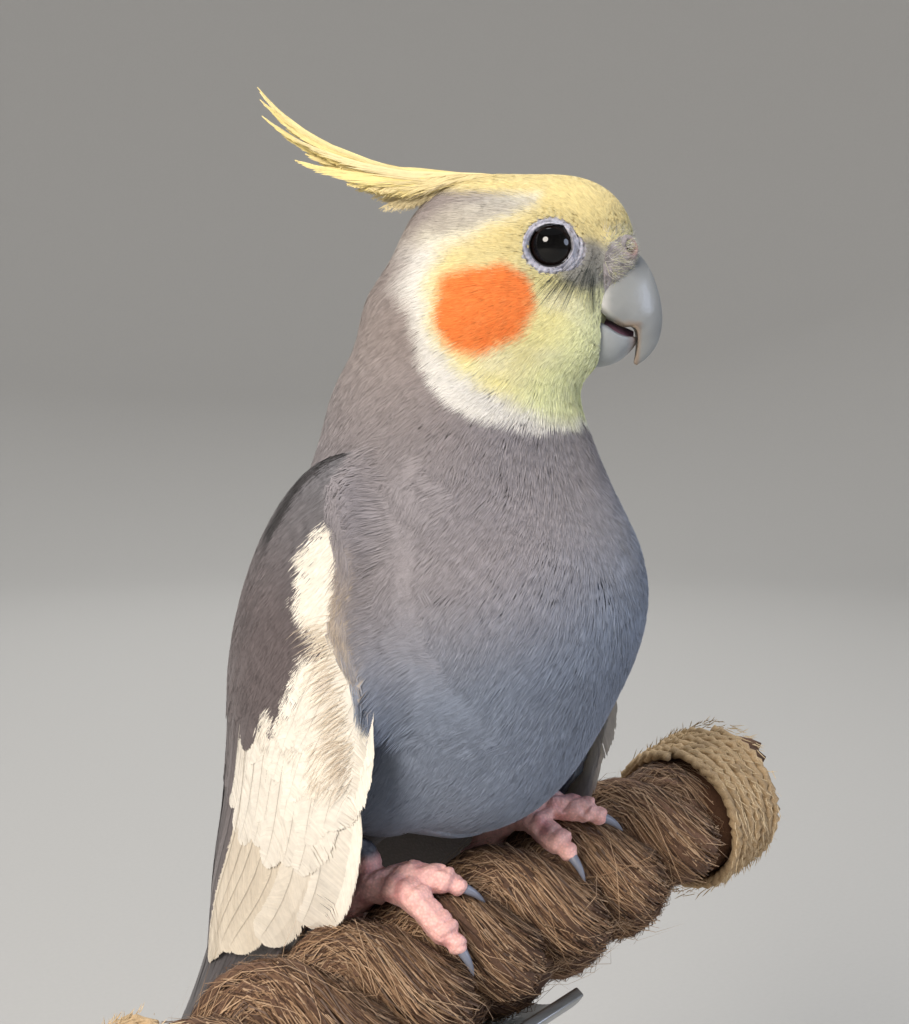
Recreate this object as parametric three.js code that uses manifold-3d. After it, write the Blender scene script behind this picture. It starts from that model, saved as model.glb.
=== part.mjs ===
// A life-size still model of a male cockatiel gripping a short length of plaited rope on a display stand.
// Units are millimetres. +Z is up, the body faces -Y, and the bird's left side is +X.
// The origin is the middle of the underside of the stand's base.
import * as THREE from "three";
import { mergeVertices } from "three/addons/utils/BufferGeometryUtils.js";
import Module from "manifold-3d";

const wasm = await Module();
wasm.setup();

// Driving sizes. Heights of the bird itself are measured from the top of the rope, below called the perch.
const PERCH_TOP = 176;
const GAP = 0.3; // between pieces that touch
const SLIVER = 0.03; // edges shorter than this, left by the cuts, are closed up
const HEAD_TURN = 42; // degrees that the head looks to the bird's left
const HEAD_AT = [0, -5.6, 92]; // middle of the skull
const BODY_LEAN = 28; // degrees from upright to the trunk's long axis
const EYE = { forward: 8.5, side: 6.3, up: 2.4, radius: 3.7 };
const ROPE = {
  left: 74, right: -76, slope: 0.12, bend: 0.0004, strand: 6.3, wide: 7.3, deep: 5.4, tilt: 40,
  pitch: 46, phase: 0.35, squeezed: 0.62, half: 12.9,
};
const WHIPPING = { from: 5, length: 15, bore: 11.6, radius: 14.0, turns: 3 };
const TOE_RADIUS = 2.4;
const FEET = {
  right: { x: -15.6, hub: -10, toes: [[-10.5, -50], [-7.4, 22], [-12.2, 50], [-19.6, -50]] },
  left: { x: 15.2, hub: -10, toes: [[9.5, -50], [15.5, 34], [24.5, 26], [18.8, -50]] },
};
// Each claw's stations: distance past the toe's last pad, height over the rope, and half thickness.
const CLAW = [[-1, 2.0, 1.5], [1.2, 2.3, 1.5], [3, 1.9, 1.15], [4.4, 1.3, 0.75], [5.4, 0.7, 0.3]];
const BASE = { radius: 74, thick: 13, edge: 3 };
const ROD_RADIUS = 4;
const COLLAR = { radius: 9, height: 6 };
const SADDLE = { inner: 14.3, outer: 16.1, length: 26, arc: 110 };

const COLOURS = {
  grey: ["#77726f", 0.85],
  yellow: ["#f1e79b", 0.8],
  white: ["#f2ede0", 0.8],
  dark: ["#4c4644", 0.8],
  horn: ["#b9b7b8", 0.35],
  skin: ["#e79d97", 0.6],
  cere: ["#b3a9a2", 0.6],
  claw: ["#8a8784", 0.4],
  tongue: ["#7b6470", 0.5],
  eye: ["#0d0b0a", 0.08],
  rope: ["#a5794f", 0.95],
  twine: ["#b9a386", 0.95],
  wood: ["#5b4030", 0.5],
  steel: ["#8c8f92", 0.35],
};

const V = (x, y, z) => new THREE.Vector3(x, y, z);
const rad = THREE.MathUtils.degToRad;

// A closed geometry as a solid that can be joined and cut, whichever way its faces turn.
function solidOf(geometry) {
  const bare = geometry.index ? geometry.toNonIndexed() : geometry.clone();
  bare.deleteAttribute("normal");
  bare.deleteAttribute("uv");
  const merged = mergeVertices(bare, 1e-4);
  const make = (triVerts) =>
    new wasm.Manifold(
      new wasm.Mesh({ numProp: 3, vertProperties: merged.attributes.position.array, triVerts }),
    );
  const triangles = new Uint32Array(merged.index.array);
  const solid = make(triangles);
  if (solid.volume() >= 0) return solid;
  for (let i = 0; i < triangles.length; i += 3)
    [triangles[i + 1], triangles[i + 2]] = [triangles[i + 2], triangles[i + 1]];
  return make(triangles);
}

// A solid back as a geometry for a mesh.
function geometryOf(solid) {
  const mesh = solid.getMesh();
  const points = new Float32Array(mesh.numVert * 3);
  for (let i = 0; i < mesh.numVert; i++)
    points.set(mesh.vertProperties.subarray(i * mesh.numProp, i * mesh.numProp + 3), i * 3);
  return new THREE.BufferGeometry()
    .setAttribute("position", new THREE.BufferAttribute(points, 3))
    .setIndex(new THREE.BufferAttribute(mesh.triVerts, 1));
}

// The largest single body of a solid, so that slivers left by a cut are dropped.
const mainBody = (solid) => solid.decompose().reduce((a, b) => (b.volume() > a.volume() ? b : a));
const union = (solids) => solids.reduce((a, b) => a.add(b));
const without = (solid, others) => others.reduce((a, b) => a.subtract(b), solid);

// Cuts away everything on the side of a plane that its normal points to.
function trim(solid, { point, normal }, shift = 0) {
  const size = 500;
  const way = normal.clone().normalize();
  const box = new THREE.BoxGeometry(size, size, size)
    .translate(0, 0, size / 2 + shift)
    .applyQuaternion(new THREE.Quaternion().setFromUnitVectors(V(0, 0, 1), way))
    .translate(point.x, point.y, point.z);
  return solid.subtract(solidOf(box));
}
const flipped = ({ point, normal }) => ({ point, normal: normal.clone().negate() });

// A ball whose rows run along a shape and whose columns run round it.
// place(u, angle) gives the point for u from 0 to 1 and an angle round the section.
function loft(rows, around, place) {
  const geometry = new THREE.SphereGeometry(1, around, rows);
  const position = geometry.attributes.position;
  for (let i = 0; i < position.count; i++) {
    const u = Math.acos(THREE.MathUtils.clamp(position.getY(i), -1, 1)) / Math.PI;
    const point = place(u, Math.atan2(position.getZ(i), position.getX(i)));
    position.setXYZ(i, point.x, point.y, point.z);
  }
  return geometry;
}

// A smooth curve through rows of three numbers.
function through(rows) {
  const curve = new THREE.CatmullRomCurve3(rows.map((r) => V(...r)));
  return (u) => curve.getPoint(THREE.MathUtils.clamp(u, 0, 1));
}

// A limb or blade. Each station has the middle of a section (at), its half width and half depth, and, for
// a blade, a turn in degrees and how far its edges bow inwards (arch). side(turn) is the way of the width.
function limb(stations, { rows = 12, around = 10, grow = 0, side = () => V(1, 0, 0) } = {}) {
  const middle = through(stations.map((s) => s.at));
  const size = through(stations.map((s) => [s.wide, s.deep, 0]));
  const bend = through(stations.map((s) => [s.turn ?? 0, s.arch ?? 0, 0]));
  const step = 1e-3;
  return loft(rows, around, (u, angle) => {
    const run = middle(u + step).sub(middle(u - step)).normalize();
    const { x: wide, y: deep } = size(u);
    const { x: turn, y: arch } = bend(u);
    const across = side(turn);
    across.addScaledVector(run, -across.dot(run)).normalize();
    const out = V(0, 0, 0).crossVectors(across, run);
    const point = middle(u);
    if (u < step) return point.addScaledVector(run, -grow);
    if (u > 1 - step) return point.addScaledVector(run, grow);
    return point
      .addScaledVector(across, Math.cos(angle) * (wide + grow))
      .addScaledVector(out, Math.sin(angle) * (deep + grow) - arch * Math.cos(angle) ** 2);
  });
}
// Moves stations given from the perch up to their place above the base.
const raised = (stations) =>
  stations.map((s) => ({ ...s, at: [s.at[0], s.at[1], s.at[2] + PERCH_TOP] }));

// The head's own frame: distances forward, to the bird's left, and up from the middle of the skull.
const HEAD_FRAME = new THREE.Matrix4()
  .makeTranslation(HEAD_AT[0], HEAD_AT[1], HEAD_AT[2] + PERCH_TOP)
  .multiply(new THREE.Matrix4().makeRotationZ(rad(HEAD_TURN)))
  .multiply(new THREE.Matrix4().makeBasis(V(0, -1, 0), V(1, 0, 0), V(0, 0, 1)));
const onHead = (forward, left, up) => V(forward, left, up).applyMatrix4(HEAD_FRAME);
const HEAD_LEFT = V(0, 1, 0).transformDirection(HEAD_FRAME);

// The body's form is a smooth blend of ellipsoids, each with its centre, radii, lean and softness of blend.
const BODY_FRAME = new THREE.Matrix4().makeTranslation(0, 0, PERCH_TOP);
const LEANING = new THREE.Matrix4().makeRotationX(rad(BODY_LEAN));
function ellipsoid(frame, centre, radii, soft, lean) {
  const place = frame.clone().multiply(new THREE.Matrix4().makeTranslation(...centre));
  if (lean) place.multiply(lean);
  return { inverse: place.invert(), radii: V(...radii), soft };
}
const FORMS = [
  ellipsoid(HEAD_FRAME, [1.2, 0, 0.6], [14.5, 11.0, 12.2], 4), // skull
  ellipsoid(HEAD_FRAME, [11.0, 0, 2.9], [9.6, 7.6, 9.5], 4), // forehead and lores
  ellipsoid(HEAD_FRAME, [8.4, 0, -9.2], [8.9, 9.0, 9.0], 4), // cheek fronts and chin
  ellipsoid(HEAD_FRAME, [-3.2, 0, -8.2], [15.4, 12.4, 11.2], 4), // ear coverts
  ellipsoid(HEAD_FRAME, [-6.0, 0, -21.5], [16.8, 14.2, 14.5], 5), // throat and nape
  ellipsoid(BODY_FRAME, [0, 0.8, 66], [15.2, 14.4, 13.0], 8), // root of the neck
  ellipsoid(BODY_FRAME, [0, -3.2, 43.5], [22.5, 23.8, 22.0], 12), // breast
  ellipsoid(BODY_FRAME, [0, 10.5, 38], [23.0, 21.5, 38.0], 12, LEANING), // barrel of the body
  ellipsoid(BODY_FRAME, [0, -0.5, 27], [21.5, 21.5, 23.0], 12), // belly
  ellipsoid(BODY_FRAME, [13, 6, 18], [8.5, 10.0, 10.0], 6), // left thigh
  ellipsoid(BODY_FRAME, [-13, 6, 18], [8.5, 10.0, 10.0], 6), // right thigh
  ellipsoid(BODY_FRAME, [0, 32, 6], [12.5, 11.0, 30.0], 12, LEANING), // rump and vent
  ellipsoid(BODY_FRAME, [0, 43.5, -17], [7.8, 5.4, 25.0], 7, LEANING), // coverts round the tail's base
];

// Signed distance from the blended forms, near enough for modelling: below zero inside.
function field(point) {
  return FORMS.reduce((a, { inverse, radii, soft }) => {
    const p = point.clone().applyMatrix4(inverse).divide(radii);
    const k = p.length();
    const b = (k * (k - 1)) / Math.max(p.divide(radii).length(), 1e-9);
    const h = Math.max(soft - Math.abs(a - b), 0) / soft;
    return Math.min(a, b) - (h * h * soft) / 4;
  }, 1e3);
}

// The forms' skin round a centre: a ball's points slid out until they reach the surface, grown by grow,
// and no further than reach. A stretch along the body's axis sends more of them to its ends.
function skin(centre, { detail, reach, grow = 0, stretch = 1 }) {
  const geometry = new THREE.IcosahedronGeometry(1, detail);
  const position = geometry.attributes.position;
  const spread = LEANING.clone().scale(V(1, 1, stretch));
  for (let i = 0; i < position.count; i++) {
    const way = V(position.getX(i), position.getY(i), position.getZ(i)).applyMatrix4(spread).normalize();
    let near = 0;
    let far = reach;
    if (field(centre.clone().addScaledVector(way, far)) > grow)
      for (let step = 0; step < 30; step++) {
        const half = (near + far) / 2;
        if (field(centre.clone().addScaledVector(way, half)) > grow) far = half;
        else near = half;
      }
    position.setXYZ(i, ...centre.clone().addScaledVector(way, far).toArray());
  }
  return solidOf(geometry);
}

const HEAD_CUT = { point: onHead(-4, 0, -20), normal: V(-0.2, 0, -1).transformDirection(HEAD_FRAME) };
const NECK_CUT = { point: V(0, 0, PERCH_TOP + 61), normal: V(0, 0.3, -1) };

// Head, neck and trunk are parted by thin cuts across the one form.
function makeHead(grow = 0) {
  const whole = skin(onHead(1, 0, -4), { detail: 6, reach: 28, grow });
  return trim(whole, HEAD_CUT, grow);
}
function makeNeck(grow = 0) {
  const whole = skin(V(0, 0, PERCH_TOP + 67), { detail: 4, reach: 40, grow });
  return trim(trim(whole, flipped(HEAD_CUT), -GAP + grow), NECK_CUT, grow);
}
function makeTrunk(grow = 0) {
  const whole = skin(V(0, 10, PERCH_TOP + 32), { detail: 6, reach: 80, grow, stretch: 1.5 });
  return trim(whole, flipped(NECK_CUT), -GAP + grow);
}

// A folded wing, for the right side: its covert and secondary part, then the primaries beyond it.
const WING = [
  { at: [-19.0, -2, 64.5], wide: 3, deep: 2, turn: 12, arch: 0 },
  { at: [-21.8, 2, 59], wide: 9, deep: 5.0, turn: 15, arch: 1.5 },
  { at: [-23.6, 8.2, 48], wide: 15.5, deep: 5.9, turn: 18, arch: 3.8 },
  { at: [-24.4, 13.5, 32], wide: 20.5, deep: 6.0, turn: 21, arch: 4.8 },
  { at: [-22.8, 19, 14], wide: 22.5, deep: 5.3, turn: 25, arch: 5 },
  { at: [-18.2, 32, -6.5], wide: 18, deep: 4.2, turn: 34, arch: 3.8 },
  { at: [-13.2, 44, -26], wide: 11, deep: 2.4, turn: 44, arch: 1.8 },
  { at: [-10.2, 53, -42], wide: 3.5, deep: 0.9, turn: 50, arch: 0.5 },
  { at: [-9.6, 55, -45.5], wide: 0.5, deep: 0.4, turn: 50, arch: 0 },
];
const PRIMARIES = [
  { at: [-19.0, 22, 8], wide: 8, deep: 1.2, turn: 30, arch: 1 },
  { at: [-17.4, 32.5, -9], wide: 11.5, deep: 2.2, turn: 36, arch: 2 },
  { at: [-14.4, 46.5, -30], wide: 8.4, deep: 1.8, turn: 46, arch: 1.2 },
  { at: [-11.4, 61, -49], wide: 5.6, deep: 1.4, turn: 56, arch: 0.7 },
  { at: [-8.6, 74, -67], wide: 3.8, deep: 1.0, turn: 63, arch: 0.3 },
  { at: [-5.8, 85.5, -84], wide: 1.3, deep: 0.5, turn: 66, arch: 0 },
  { at: [-5.6, 87, -86], wide: 0.4, deep: 0.4, turn: 66, arch: 0 },
];
// Turn 0 makes a wing's outer face look sideways; 90 makes it look back.
const wingSide = (turn) => V(Math.sin(rad(turn)), Math.cos(rad(turn)), 0.55).normalize();
function makeBlade(stations, sign, rows, grow = 0) {
  const blade = limb(raised(stations), { rows, around: 9, grow, side: wingSide });
  return solidOf(sign > 0 ? blade.scale(-1, 1, 1) : blade);
}

// The tail: a long middle pair over shorter outer feathers.
const TAIL_MIDDLE = [
  { at: [0, 39, 4], wide: 4, deep: 1.5 },
  { at: [0, 45.8, -12], wide: 5.5, deep: 1.6 },
  { at: [0, 60.5, -46], wide: 6.0, deep: 1.2 },
  { at: [0, 77.5, -84], wide: 5.2, deep: 0.9 },
  { at: [0, 95.5, -124], wide: 3.6, deep: 0.7 },
  { at: [0, 107, -149.5], wide: 1.6, deep: 0.45 },
  { at: [0, 109, -154], wide: 0.4, deep: 0.35 },
];
const TAIL_SIDE = [
  { at: [-3.6, 37.5, 0], wide: 2.5, deep: 1.5 },
  { at: [-4.2, 43.6, -14], wide: 3.8, deep: 1.5 },
  { at: [-5.2, 58, -46], wide: 4.6, deep: 1.1 },
  { at: [-6.4, 73.4, -80], wide: 5.2, deep: 0.8 },
  { at: [-5.6, 88.4, -113], wide: 2.8, deep: 0.6 },
  { at: [-4.8, 91, -118.5], wide: 0.5, deep: 0.4 },
];
function makeTail(stations, sign, rows, grow = 0) {
  const blade = limb(raised(stations), { rows, around: 7, grow });
  return solidOf(sign > 0 ? blade.scale(-1, 1, 1) : blade);
}

// Bill, tongue and crest are drawn in the head's frame, as stations of forward and up.
function onMidline(rows, options) {
  const stations = rows.map(([forward, up, wide, deep]) => ({
    at: onHead(forward, 0, up).toArray(), wide, deep,
  }));
  return solidOf(limb(stations, { ...options, side: () => HEAD_LEFT.clone() }));
}
const CERE = [
  [13.5, -0.6, 5.0, 4.4], [16.8, 0.5, 5.1, 3.6], [19.4, 1.7, 4.3, 2.5], [21.2, 1.8, 2.7, 1.3],
  [21.9, 1.6, 0.8, 0.5],
];
const BILL_UPPER = [
  [13.5, -0.6, 4.8, 4.6], [17.2, -1.6, 4.9, 5.4], [20.0, -3.8, 4.5, 4.6], [21.8, -6.4, 3.8, 3.0],
  [22.6, -9.2, 2.8, 2.1], [22.5, -11.7, 1.8, 1.4], [21.9, -13.5, 0.9, 0.8], [21.1, -14.8, 0.3, 0.3],
];
const BILL_LOWER = [
  [12.5, -11.0, 4.0, 3.6], [15.5, -11.4, 4.3, 3.4], [18.0, -11.9, 3.7, 2.4], [20.0, -11.6, 2.6, 1.2],
  [21.0, -11.2, 1.2, 0.5], [21.3, -11.0, 0.4, 0.3],
];
const TONGUE = [
  [12.5, -8.0, 2.2, 1.0], [16.5, -8.9, 2.3, 1.2], [19.0, -9.7, 1.8, 0.9], [20.2, -10.0, 0.8, 0.5],
];
const CREST = [
  [15.6, 9.6, 1.2, 0.8], [12.0, 11.8, 2.2, 1.1], [7.5, 13.0, 3.4, 1.2], [1.5, 13.4, 4.2, 1.5],
  [-5, 13.3, 4.6, 1.9], [-11, 12.8, 4.2, 2.6], [-16.5, 13.5, 3.1, 2.2], [-21.5, 15.0, 2.1, 1.7],
  [-26, 17.2, 1.3, 1.2], [-30, 20.4, 0.8, 0.8], [-33.4, 25.2, 0.3, 0.3],
];

function makeEye(sign, grow = 0) {
  const ball = new THREE.SphereGeometry(EYE.radius + grow, 12, 6);
  const at = onHead(EYE.forward, sign * EYE.side, EYE.up);
  return solidOf(ball.translate(at.x, at.y, at.z));
}

// The rope: three strands plaited about an axis that rises to the bird's left, drawn in at both ends.
const ropeAxis = (x) => PERCH_TOP - ROPE.half + ROPE.slope * x + ROPE.bend * x * x;
const ROPE_WIDE = V(0, -Math.sin(rad(ROPE.tilt)), Math.cos(rad(ROPE.tilt)));
const ROPE_DEEP = V(0, Math.cos(rad(ROPE.tilt)), Math.sin(rad(ROPE.tilt)));
function strandAt(index, x) {
  const t = 2 * Math.PI * (x / ROPE.pitch + ROPE.phase + index / 3);
  const drawnIn = WHIPPING.from + WHIPPING.length;
  const inside = THREE.MathUtils.smoothstep(Math.min(x - ROPE.right, ROPE.left - x), drawnIn, drawnIn + 8);
  const fit = THREE.MathUtils.lerp(ROPE.squeezed, 1, inside);
  return V(x, 0, ropeAxis(x))
    .addScaledVector(ROPE_WIDE, fit * ROPE.wide * Math.sin(t))
    .addScaledVector(ROPE_DEEP, fit * ROPE.deep * Math.sin(2 * t));
}
function makeStrand(index, grow = 0) {
  const stations = [];
  for (let x = ROPE.right; x <= ROPE.left; x += 4) {
    const end = x < ROPE.right + 4 || x > ROPE.left - 4 ? 0.7 : 1;
    stations.push({ at: strandAt(index, x).toArray(), wide: ROPE.strand * end, deep: ROPE.strand * end });
  }
  return solidOf(limb(stations, { rows: 34, around: 6, grow, side: () => V(0, 1, 0) }));
}
const makeRope = (grow = 0) => union([0, 1, 2].map((index) => makeStrand(index, grow)));

// A twine binding round one end of the rope, ribbed by its turns.
function makeWhipping(end, inward) {
  const { from, length, bore, radius, turns } = WHIPPING;
  const profile = [new THREE.Vector2(bore, 0)];
  for (let i = 0; i < turns; i++)
    for (const [part, depth] of [[0, 0.7], [0.5, 0]])
      profile.push(new THREE.Vector2(radius - depth, ((i + part) * length) / turns));
  profile.push(new THREE.Vector2(radius - 0.7, length), new THREE.Vector2(bore, length));
  profile.push(profile[0].clone());
  const start = V(end + inward * from, 0, ropeAxis(end + inward * from));
  const stop = V(end + inward * (from + length), 0, ropeAxis(end + inward * (from + length)));
  const way = stop.clone().sub(start).normalize();
  return solidOf(
    new THREE.LatheGeometry(profile, 12)
      .applyQuaternion(new THREE.Quaternion().setFromUnitVectors(V(0, 1, 0), way))
      .translate(start.x, start.y, start.z),
  );
}

// A point about the rope: along it, round it in degrees forward from its top, and out from its axis.
const aboutRope = (x, round, out) =>
  V(x, -out * Math.sin(rad(round)), ropeAxis(x) + out * Math.cos(rad(round)));

// How far out the strands reach there, under something as broad as a toe.
function ropeReach(x, round) {
  let reach = 9;
  for (let index = 0; index < 3; index++)
    for (let s = -9; s <= 9; s += 1)
      for (const aside of [-TOE_RADIUS * 0.8, 0, TOE_RADIUS * 0.8]) {
        const from = aboutRope(x + aside, round, 0);
        const way = aboutRope(x + aside, round, 1).sub(from);
        const to = strandAt(index, x + aside + s).sub(from);
        const along = to.dot(way);
        const room = ROPE.strand ** 2 - (to.lengthSq() - along * along);
        if (room > 0) reach = Math.max(reach, along + Math.sqrt(room));
      }
  return reach;
}

// A foot grips the rope with two toes forward and two back. Each toe is a row of pads from the hub.
const PADS = [1, 0.88, 1.02, 0.86, 0.98, 0.74];
function padAt({ x, hub, toes }, index, pad) {
  const [tipX, tipRound] = toes[index];
  const along = pad / (PADS.length - 1);
  const at = [THREE.MathUtils.lerp(x, tipX, along), THREE.MathUtils.lerp(hub, tipRound, along)];
  return aboutRope(...at, ropeReach(...at) + TOE_RADIUS * PADS[pad] + GAP);
}
function makeToe(foot, index, grow = 0) {
  const stations = PADS.map((k, pad) => ({
    at: padAt(foot, index, pad).toArray(),
    wide: TOE_RADIUS * k,
    deep: TOE_RADIUS * k * 0.92,
  }));
  return solidOf(limb(stations, { rows: 7, around: 6, grow }));
}
function makeFoot(foot, grow = 0) {
  const hub = padAt(foot, 0, 0);
  const ball = new THREE.IcosahedronGeometry(TOE_RADIUS * 1.2 + grow, 0).translate(hub.x, hub.y, hub.z);
  return union([solidOf(ball), ...foot.toes.map((_, index) => makeToe(foot, index, grow))]);
}
function makeClaw(foot, index) {
  const [tipX, tipRound] = foot.toes[index];
  const aside = tipX - foot.x;
  const round = tipRound - foot.hub;
  const length = Math.hypot(aside, rad(round) * ROPE.half);
  const stations = CLAW.map(([past, over, thick]) => {
    const at = [tipX + (aside * past) / length, tipRound + (round * past) / length];
    return { at: aboutRope(...at, ropeReach(...at) + over).toArray(), wide: thick * 0.85, deep: thick };
  });
  return solidOf(limb(stations, { rows: 4, around: 5 }));
}
// The bare shank between the foot's hub and the belly: aside to the middle, back, up and half thickness.
const SHANK = [[0.6, 0, 0, 2.4], [0.2, 3.2, 4, 2.2], [0.2, 5, 8, 2.4], [0, 6.5, 12, 3.0]];
function makeLeg(foot, grow = 0) {
  const hub = padAt(foot, 0, 0);
  const stations = SHANK.map(([aside, back, up, thick]) => ({
    at: [hub.x - Math.sign(foot.x) * aside, hub.y + back, hub.z + up],
    wide: thick,
    deep: thick,
  }));
  return solidOf(limb(stations, { rows: 5, around: 7, grow }));
}

// The stand: a round base, a rod with a collar at its foot, and a saddle under the rope.
function turnedSolid(profile, segments) {
  const lathe = new THREE.LatheGeometry(profile.map(([r, z]) => new THREE.Vector2(r, z)), segments);
  return solidOf(lathe.rotateX(Math.PI / 2));
}
function makeBase() {
  const { radius, thick, edge } = BASE;
  return turnedSolid(
    [[0, 0], [radius, 0], [radius, thick - edge], [radius - 0.9, thick - 0.9], [radius - edge, thick],
      [0, thick]],
    30,
  );
}
function makeCollar() {
  const { radius, height } = COLLAR;
  const bottom = BASE.thick + GAP;
  const bore = ROD_RADIUS + GAP;
  return turnedSolid(
    [[bore, bottom], [radius, bottom], [radius - 2.5, bottom + height], [bore, bottom + height],
      [bore, bottom]],
    16,
  );
}
function makeSaddle() {
  const { inner, outer, length, arc } = SADDLE;
  const shape = new THREE.Shape();
  const start = rad(-90 - arc / 2);
  const stop = rad(-90 + arc / 2);
  shape.absarc(0, 0, outer, start, stop, false);
  shape.absarc(0, 0, inner, stop, start, true);
  shape.closePath();
  const cradle = new THREE.ExtrudeGeometry(shape, { depth: length, bevelEnabled: false, curveSegments: 10 })
    .translate(0, 0, -length / 2)
    .rotateX(Math.PI / 2)
    .rotateZ(Math.PI / 2)
    .rotateY(-Math.atan(ROPE.slope))
    .translate(0, 0, ropeAxis(0));
  return solidOf(cradle);
}
function makeRod() {
  const top = ropeAxis(0) - SADDLE.outer - GAP;
  const bottom = BASE.thick + GAP;
  const length = top - bottom - 0.5;
  return solidOf(
    new THREE.CylinderGeometry(ROD_RADIUS, ROD_RADIUS, length, 20)
      .rotateX(Math.PI / 2)
      .translate(0, 0, bottom + length / 2),
  );
}

const group = new THREE.Group();
const materials = new Map();
function add(name, solid, colour) {
  const [hex, roughness] = COLOURS[colour];
  if (!materials.has(colour))
    materials.set(
      colour,
      new THREE.MeshStandardMaterial({ color: hex, roughness, metalness: colour === "steel" ? 1 : 0 }),
    );
  const mesh = new THREE.Mesh(geometryOf(mainBody(solid).simplify(SLIVER)), materials.get(colour));
  mesh.name = name;
  group.add(mesh);
}

const sides = [["right", -1], ["left", 1]];
const feet = Object.values(FEET);
const headGrown = makeHead(GAP);
const trunkGrown = makeTrunk(GAP);
const bodyGrown = trunkGrown.add(makeNeck(GAP));
const upperSize = { rows: 10, around: 9 };
const lowerSize = { rows: 7, around: 8 };
const cere = onMidline(CERE, lowerSize);
const cereGrown = onMidline(CERE, { ...lowerSize, grow: GAP });
const upperGrown = onMidline(BILL_UPPER, { ...upperSize, grow: GAP });
const lowerGrown = onMidline(BILL_LOWER, { ...lowerSize, grow: GAP });
const tailMiddleGrown = makeTail(TAIL_MIDDLE, -1, 9, GAP);
const ropeGrown = makeRope(GAP);

add("head", without(makeHead(), sides.map(([, sign]) => makeEye(sign, GAP))), "yellow");
add("neck", makeNeck(), "grey");
add("trunk", without(makeTrunk(), feet.map((foot) => makeFoot(foot, GAP))), "grey");
add("crest", onMidline(CREST, { rows: 13, around: 6 }).subtract(headGrown), "yellow");
add("cere", cere.subtract(headGrown), "cere");
add("bill_upper", without(onMidline(BILL_UPPER, upperSize), [headGrown, cereGrown]), "horn");
add("bill_lower", without(onMidline(BILL_LOWER, lowerSize), [headGrown, upperGrown]), "horn");
add(
  "tongue",
  without(onMidline(TONGUE, { rows: 5, around: 6 }), [headGrown, upperGrown, lowerGrown]),
  "tongue",
);
add("tail_middle", makeTail(TAIL_MIDDLE, -1, 9).subtract(trunkGrown), "dark");
for (const [side, sign] of sides) {
  const foot = FEET[side];
  const tailGrown = makeTail(TAIL_SIDE, sign, 8, GAP);
  const wingGrown = makeBlade(WING, sign, 13, GAP);
  add(`eye_${side}`, makeEye(sign), "eye");
  add(
    `wing_${side}`,
    without(makeBlade(WING, sign, 13), [bodyGrown, tailMiddleGrown, tailGrown, ropeGrown]),
    "white",
  );
  add(
    `primaries_${side}`,
    without(makeBlade(PRIMARIES, sign, 9), [bodyGrown, wingGrown, tailMiddleGrown, tailGrown]),
    "dark",
  );
  add(`tail_${side}`, without(makeTail(TAIL_SIDE, sign, 8), [trunkGrown, tailMiddleGrown]), "dark");
  add(`leg_${side}`, without(makeLeg(foot), [trunkGrown, makeFoot(foot, GAP)]), "skin");
  add(`foot_${side}`, makeFoot(foot), "skin");
  foot.toes.forEach((_, index) => {
    add(`claw_${side}_${index + 1}`, makeClaw(foot, index).subtract(makeFoot(foot, GAP)), "claw");
  });
  add(`perch_whipping_${side}`, makeWhipping(sign > 0 ? ROPE.left : ROPE.right, -sign), "twine");
}
add("perch_rope", makeRope(), "rope");
add("stand_base", makeBase(), "wood");
add("stand_collar", makeCollar(), "steel");
add("stand_rod", makeRod(), "steel");
add("stand_saddle", makeSaddle(), "steel");

export default group;
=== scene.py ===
"""A life-size still model of a male cockatiel on a rope perch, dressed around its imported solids.

Modelling is in millimetres and the finished meshes are in metres. +Z is up, the body faces -Y and the
bird's left side is +X. Heights given "from the perch" are above the top of the rope.
"""

import logging
import math
from dataclasses import dataclass
from enum import Enum
from typing import Callable, Iterable, Optional, Sequence

import bmesh
import bpy
import numpy as np
from mathutils import Matrix, Vector
from mathutils.bvhtree import BVHTree


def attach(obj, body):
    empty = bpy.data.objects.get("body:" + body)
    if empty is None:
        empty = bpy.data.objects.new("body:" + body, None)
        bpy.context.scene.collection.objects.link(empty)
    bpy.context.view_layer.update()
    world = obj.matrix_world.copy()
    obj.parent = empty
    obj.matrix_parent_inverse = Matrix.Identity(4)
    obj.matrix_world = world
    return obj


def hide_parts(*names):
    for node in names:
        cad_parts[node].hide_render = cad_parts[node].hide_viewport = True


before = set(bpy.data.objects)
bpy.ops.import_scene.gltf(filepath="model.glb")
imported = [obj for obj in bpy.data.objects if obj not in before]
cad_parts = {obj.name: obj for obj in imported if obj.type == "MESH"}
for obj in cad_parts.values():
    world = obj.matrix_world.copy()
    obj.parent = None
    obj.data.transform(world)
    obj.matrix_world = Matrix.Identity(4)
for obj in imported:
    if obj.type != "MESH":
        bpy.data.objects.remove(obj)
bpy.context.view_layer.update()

log = logging.getLogger("cockatiel")
MM = 0.001
PERCH_TOP = 176.0
TINT = "Tint"
ROOT_MAP = "OFBake"
PATCH = 0.003  # size of one tuft's patch on its root map
EYE_AT = (8.5, 6.3, 2.4)
EYE_RADIUS = 3.7
NOSTRIL_AT = (19.4, 3.2, 2.0)
NECK_BELOW = -24  # the head ends at this height from the middle of the skull
Array = np.ndarray


def linear(code: str) -> Array:
    """Turns an sRGB hex colour such as "#807c7f" into linear red, green and blue."""
    c = np.array([int(code[i : i + 2], 16) for i in (1, 3, 5)]) / 255
    return np.where(c <= 0.04045, c / 12.92, ((c + 0.055) / 1.055) ** 2.4)


def unit(v: Array) -> Array:
    """Scales vectors along the last axis to length one."""
    return v / np.maximum(np.linalg.norm(v, axis=-1, keepdims=True), 1e-9)


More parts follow.
